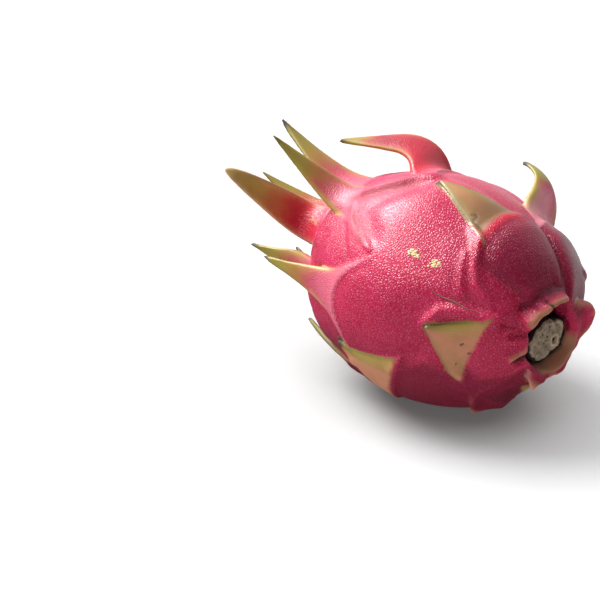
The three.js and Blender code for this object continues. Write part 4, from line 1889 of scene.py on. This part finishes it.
@dataclass(frozen=True)
class SkinFinish:
    """Waxy skin: pink flesh with fine pale warts, green scales with dry tips.

    A step is where it starts, where it ends and how high it then is. Sizes are in metres, apart from
    those of the veins, which are in millimetres along the blades' own marks. Hollows, grooves, the
    underside, the pillows turned from the light and the roots of lying scales get painted shade, and
    crests and one side of a spur's base get painted light.
    """

    crimson: Colour = (0.54, 0.006, 0.058)
    pink: Colour = (0.64, 0.015, 0.092)
    pale: Colour = (0.84, 0.17, 0.28)
    plum: Colour = (0.19, 0.002, 0.026)
    # dark red of the painted shade in grooves
    groove_shade_red: Colour = (0.36, 0.002, 0.034)
    # dark red of painted shade, laid in hollows and on the underside
    painted_shade: Colour = (0.15, 0.001, 0.014)
    olive: Colour = (0.25, 0.205, 0.028)
    leaf: Colour = (0.46, 0.38, 0.06)
    # brown of the roots, partly their own colour and partly painted shade
    tan: Colour = (0.62, 0.235, 0.145)
    brown: Colour = (0.22, 0.105, 0.045)
    # pale pink of inner faces, brightened to stand in for light on one side of the spur's base
    pale_and_painted_light: Colour = (0.92, 0.34, 0.41)
    bark: Colour = (0.43, 0.19, 0.105)
    scarlet: Colour = (0.66, 0.006, 0.035)
    flame: Colour = (0.32, 0.008, 0.012)
    husk: Colour = (0.05, 0.04, 0.028)
    margin: Colour = (0.80, 0.50, 0.36)
    moss: Colour = (0.10, 0.10, 0.04)
    cloud_size: float = 0.020
    clouds: Step = (0.36, 0.66, 1.0)
    wart_size: float = 0.00094
    warts: Step = (0.04, 0.34, 1.0)
    wart_height: float = 0.00010
    # where hollows get painted shade and crests a painted highlight
    crease_shade: Step = (0.53, 0.68, 0.75)
    ridge_highlight: Step = (0.46, 0.34, 0.55)
    underside_shade_share: float = 0.7
    tips: Step = (0.35, 1.0, 1.0)
    vein_stretch: float = 0.07
    vein_width: float = 0.9
    vein_detail: float = 2.0
    veins: Step = (0.40, 0.70, 0.2)
    mottle_size: float = 0.009
    mottle: Step = (0.45, 0.75, 0.4)
    gloss_size: float = 0.004
    gloss: Range = (0.34, 0.46)
    mattness: float = 0.35
    glow_weight: float = 0.12
    glow_radius: Colour = (0.004, 0.001, 0.0008)
    glow_scale: float = 0.4
    specular: float = 0.26

    def flesh(self, s: Shader, warts: Socket) -> Socket:
        """Colour of the body and of the scales' pink parts.

        Args:
            s: The skin's nodes.
            warts: How far a place is on a wart.

        Returns:
            The colour.
        """
        cavity = s.fact("cavity")
        clouds = s.step(s.noise(s.place(), self.cloud_size), *self.clouds)
        colour = s.blend(clouds, self.crimson, self.pink)
        # partly the pillows' own plum, partly painted shade on pillows turned away from the light
        colour = s.blend(s.fact("ripe_and_shade"), colour, self.plum)
        # painted shade in the hollows that the cavity mark finds, and a painted highlight on the crests
        colour = s.blend(s.step(cavity, *self.crease_shade), colour, self.painted_shade)
        colour = s.blend(s.step(cavity, *self.ridge_highlight), colour, self.pink)
        colour = s.blend(s.sums("MULTIPLY", warts, s.fact("paleness")), colour, self.pale)
        # painted shade: the underside darkened
        colour = s.blend(s.sums("MULTIPLY", s.fact("low"), self.underside_shade_share), colour, self.painted_shade)
        # pale inner faces, and painted light on one side of the spur's base
        colour = s.blend(s.fact("inner"), colour, self.pale_and_painted_light)
        # painted shade: grooves below the crests darkened
        return s.blend(s.fact("groove_shade"), colour, self.groove_shade_red)

    def greens(self, s: Shader) -> Socket:
        """Colour of the scales' green and tan parts, with veins along the blades.

        Args:
            s: The skin's nodes.

        Returns:
            The colour.
        """
        grain = s.add("ShaderNodeCombineXYZ")
        s.feed(grain.inputs["X"], s.fact("grain_across"))
        s.feed(grain.inputs["Y"], s.sums("MULTIPLY", s.fact("grain_along"), self.vein_stretch))
        veins = s.noise(grain.outputs[0], self.vein_width, self.vein_detail)
        mottle = s.noise(s.place(), self.mottle_size)
        colour = s.blend(s.step(s.fact("tipward"), *self.tips), self.leaf, self.olive)
        colour = s.blend(s.fact("tan"), colour, self.tan)
        colour = s.blend(s.fact("shade"), colour, self.olive)
        colour = s.blend(s.step(veins, *self.veins), colour, self.olive)
        colour = s.blend(s.step(mottle, *self.mottle), colour, self.olive)
        # partly the root's own brown, partly painted shade where a lying flap curves down
        return s.blend(s.fact("root_brown_and_shade"), colour, self.brown)

    def material(self) -> Material:
        """Builds the skin's nodes.

        Returns:
            The material.
        """
        s = Shader("waxy_skin")
        warts = s.step(s.cells(s.place(), self.wart_size), *self.warts)
        green, rubbed = s.fact("green"), s.fact("rubbed")
        colour = s.blend(green, self.flesh(s, warts), self.greens(s))
        over = (
            ("blush", self.flame),
            # flush: a bright red band of the skin, and the painted glow at thin scales' bases
            ("flush", self.scarlet),
            ("rubbed", self.bark),
            ("torn", self.husk),
            ("rim_pale", self.margin),
            ("rim_dark", self.moss),
            ("dry", self.husk),
        )
        for mark, layer in over:
            colour = s.blend(s.fact(mark), colour, layer)
        bare = s.sums("SUBTRACT", 1.0, green)
        warty = s.sums("SUBTRACT", bare, s.sums("MULTIPLY", rubbed, bare))
        gloss = s.add("ShaderNodeMapRange")
        s.feed(gloss.inputs["Value"], s.noise(s.place(), self.gloss_size))
        s.feed(gloss.inputs["To Min"], self.gloss[0])
        s.feed(gloss.inputs["To Max"], self.gloss[1])
        matt = s.sums("MULTIPLY", s.fact("matt"), self.mattness)
        return s.finish(
            Base_Color=colour,
            Roughness=s.sums("ADD", gloss.outputs["Result"], matt),
            Normal=s.bump(s.sums("MULTIPLY", warts, warty), self.wart_height),
            Subsurface_Weight=self.glow_weight,
            Subsurface_Radius=self.glow_radius,
            Subsurface_Scale=self.glow_scale,
            Specular_IOR_Level=self.specular,
        )


@dataclass(frozen=True)
class CorkFinish:
    """Grey-brown corky wood, with sizes in metres and steps as on the skin."""

    wood: Colour = (0.37, 0.275, 0.185)
    grey: Colour = (0.20, 0.155, 0.105)
    cream: Colour = (0.66, 0.52, 0.36)
    dark: Colour = (0.012, 0.010, 0.008)
    grain_size: float = 0.0012
    grain_detail: float = 5.0
    grain: Step = (0.35, 0.65, 1.0)
    grain_height: float = 0.0002
    ring_share: float = 0.8
    fleck_size: float = 0.0006
    fleck_detail: float = 4.0
    flecks: Step = (0.60, 0.70, 0.8)
    pits: Step = (0.2, 0.6, 1.0)
    roughness: float = 0.9

    def material(self) -> Material:
        """Builds the cork's nodes.

        Returns:
            The material.
        """
        s = Shader("corky_stem")
        place = s.place()
        grain = s.step(s.noise(place, self.grain_size, self.grain_detail), *self.grain)
        flecks = s.step(s.noise(place, self.fleck_size, self.fleck_detail), *self.flecks)
        colour = s.blend(grain, self.grey, self.wood)
        colour = s.blend(s.sums("MULTIPLY", s.fact("ring"), self.ring_share), colour, self.cream)
        colour = s.blend(flecks, colour, self.dark)
        # painted shade in the pits and the sunken core
        colour = s.blend(s.step(s.fact("pit"), *self.pits), colour, self.dark)
        # the black rim, widened on the side away from the light as painted shadow
        colour = s.blend(s.fact("dark_rim_and_shadow"), colour, self.dark)
        bumps = s.bump(grain, self.grain_height)
        return s.finish(Base_Color=colour, Roughness=self.roughness, Normal=bumps)


@dataclass(frozen=True)
class ScabFinish:
    """Dry yellow-brown cork of healed skin."""

    straw: Colour = (0.78, 0.62, 0.32)
    brown: Colour = (0.22, 0.10, 0.06)
    mottle_size: float = 0.0012
    mottle: Range = (0.75, 0.85)
    mottle_shift: float = 0.6
    roughness: float = 0.85

    def material(self, name: str, brownness: float) -> Material:
        """Builds the scab's nodes.

        Args:
            name: The material's name.
            brownness: How much of the scab is brown, as a share.

        Returns:
            The material.
        """
        s = Shader(name)
        start, end = (place - self.mottle_shift * brownness for place in self.mottle)
        mottle = s.step(s.noise(s.place(), self.mottle_size), start, end)
        return s.finish(Base_Color=s.blend(mottle, self.straw, self.brown), Roughness=self.roughness)


@dataclass(frozen=True)
class FloorFinish:
    """Plain pale studio floor."""

    white: Colour = (0.27, 0.27, 0.27)
    roughness: float = 0.8

    def material(self) -> Material:
        """Builds the floor's nodes."""
        return Shader("pale_floor").finish(Base_Color=self.white, Roughness=self.roughness)


def seen_from(azimuth: float, elevation: float) -> Vector:
    """Direction from the object towards a viewer at an azimuth and elevation in degrees."""
    a, e = math.radians(azimuth), math.radians(elevation)
    return Vector((math.sin(a) * math.cos(e), -math.cos(a) * math.cos(e), math.sin(e)))


class LampKind(Enum):
    """The kinds of light."""

    SUN = "SUN"
    SQUARE = "AREA"


@dataclass(frozen=True)
class Lamp:
    """A light that faces the fruit from an azimuth and an elevation in degrees.

    The strength of a sun is for a square metre and its spread is an angle in degrees. A square light has
    its power in watts and its side in metres. One that is a reflection shows in the wax alone.
    """

    name: str
    kind: LampKind
    azimuth: float
    elevation: float
    strength: float
    spread: float
    distance: float = 1.0
    reflection: bool = False

    def build(self) -> Piece:
        """Puts the light in the scene.

        Returns:
            The light.
        """
        lamp = bpy.data.lights.new(self.name, self.kind.value)
        lamp.energy = self.strength
        holder = bpy.data.objects.new(self.name, lamp)
        bpy.context.collection.objects.link(holder)
        back = seen_from(self.azimuth, self.elevation)
        holder.location = Vector(LIE.centre() * MM) + back * self.distance
        holder.rotation_euler = back.to_track_quat("Z", "Y").to_euler()
        if self.kind is LampKind.SUN:
            lamp.angle = math.radians(self.spread)
        else:
            lamp.size = self.spread
            holder.visible_camera = False
            holder.visible_diffuse = not self.reflection
        return holder


@dataclass(frozen=True)
class Studio:
    """Floor, soft light and the camera at the photograph's angle.

    Lengths are in metres, apart from the sensor's in millimetres, and angles are in degrees. The wash
    lights the floor alone.
    """

    azimuth: float = 44.0
    elevation: float = 25.0
    distance: float = 0.7
    metres_per_pixel: float = 0.000381
    image_side: int = 600
    centre_pixel: tuple[float, float] = (441.0, 289.0)
    sensor: float = 36.0
    floor_side: float = 8.0
    key: Lamp = Lamp("key", LampKind.SUN, -74.0, 50.0, strength=6.2, spread=40.0)
    wash: Lamp = Lamp("floor_wash", LampKind.SUN, 0.0, 90.0, strength=6.5, spread=90.0)
    squares: tuple[Lamp, ...] = (
        Lamp("fill", LampKind.SQUARE, 150.0, 40.0, strength=0.5, spread=0.8),
        Lamp("front", LampKind.SQUARE, 35.0, 18.0, strength=1.0, spread=0.8),
        Lamp("sheen", LampKind.SQUARE, -80.0, 48.0, strength=42.0, spread=0.6, reflection=True),
        Lamp("backdrop", LampKind.SQUARE, 190.0, 16.0, strength=10.0, spread=1.6, reflection=True),
    )
    sky_colour: Colour = (0.94, 0.92, 1.0)
    sky_strength: float = 0.09

    def camera(self) -> None:
        """Puts the camera where the photograph was taken from."""
        back = seen_from(self.azimuth, self.elevation)
        right = Vector((math.cos(math.radians(self.azimuth)), math.sin(math.radians(self.azimuth)), 0.0))
        up = back.cross(right)
        middle = self.image_side / 2.0
        aside = (self.centre_pixel[0] - middle) * self.metres_per_pixel
        above = (middle - self.centre_pixel[1]) * self.metres_per_pixel
        lens = bpy.data.cameras.new("photo_camera")
        lens.sensor_width = self.sensor
        lens.lens = self.sensor * self.distance / self.metres_per_pixel / self.image_side
        camera = bpy.data.objects.new("photo_camera", lens)
        bpy.context.collection.objects.link(camera)
        camera.location = Vector(LIE.centre() * MM) + back * self.distance - right * aside - up * above
        camera.rotation_euler = (-back).to_track_quat("-Z", "Y").to_euler()
        bpy.context.scene.camera = camera

    def build(self) -> None:
        """Makes the floor, the lights, the sky and the camera."""
        half = self.floor_side / 2.0
        corners = [(-half, -half, 0.0), (half, -half, 0.0), (half, half, 0.0), (-half, half, 0.0)]
        floor = placed("floor", corners, faces=[(0, 1, 2, 3)])
        floor.data.materials.append(FloorFinish().material())
        floor.visible_glossy = False
        self.key.build()
        wash = self.wash.build()
        washed = bpy.data.collections.new("washed_floor")
        washed.objects.link(floor)
        wash.light_linking.receiver_collection = washed
        wash.light_linking.blocker_collection = washed
        for lamp in self.squares:
            lamp.build()
        world = bpy.data.worlds.new("studio_sky")
        world.use_nodes = True
        sky = world.node_tree.nodes["Background"]
        sky.inputs["Color"].default_value = (*self.sky_colour, 1.0)
        sky.inputs["Strength"].default_value = self.sky_strength
        bpy.context.scene.world = world
        bpy.context.scene.view_settings.view_transform = "Standard"
        self.camera()


def settle(piece: Piece, material: Material, node: str = "") -> None:
    """Gives a piece its finish, hangs it on the root body and hides the imported node that it stands for,
    if any.

    Args:
        piece: The finished piece.
        material: Its finish.
        node: The node that it replaces.
    """
    piece.data.materials.clear()
    piece.data.materials.append(material)
    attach(piece, "root")
    if node:
        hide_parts(node)
    LOG.info("%s: %d faces", piece.name, len(piece.data.polygons))


def main() -> None:
    """Builds the fruit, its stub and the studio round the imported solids."""
    logging.basicConfig(level=logging.INFO, format="%(name)s %(message)s")
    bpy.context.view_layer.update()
    Studio().build()
    stub = StemStub()
    skin = Flesh().build(stub)
    settle(skin, SkinFinish().material(), "fruit")
    settle(stub.build(), CorkFinish().material(), "stem_stub")
    tree = BVHTree.FromObject(skin, bpy.context.evaluated_depsgraph_get())
    straw = ScabFinish().material("straw_scab", 0.2)
    settle(Scabs("skin_scabs", SCABS).build(tree, straw), straw)
    brown = ScabFinish().material("brown_scar", 0.9)
    specks = Scabs("flap_specks", SPECKS, flake=0.0004, crowding=9_000_000.0)
    settle(specks.build(tree, brown), brown)
    settle(Scar().build(tree, brown), brown)


if __name__ == "__main__":
    main()
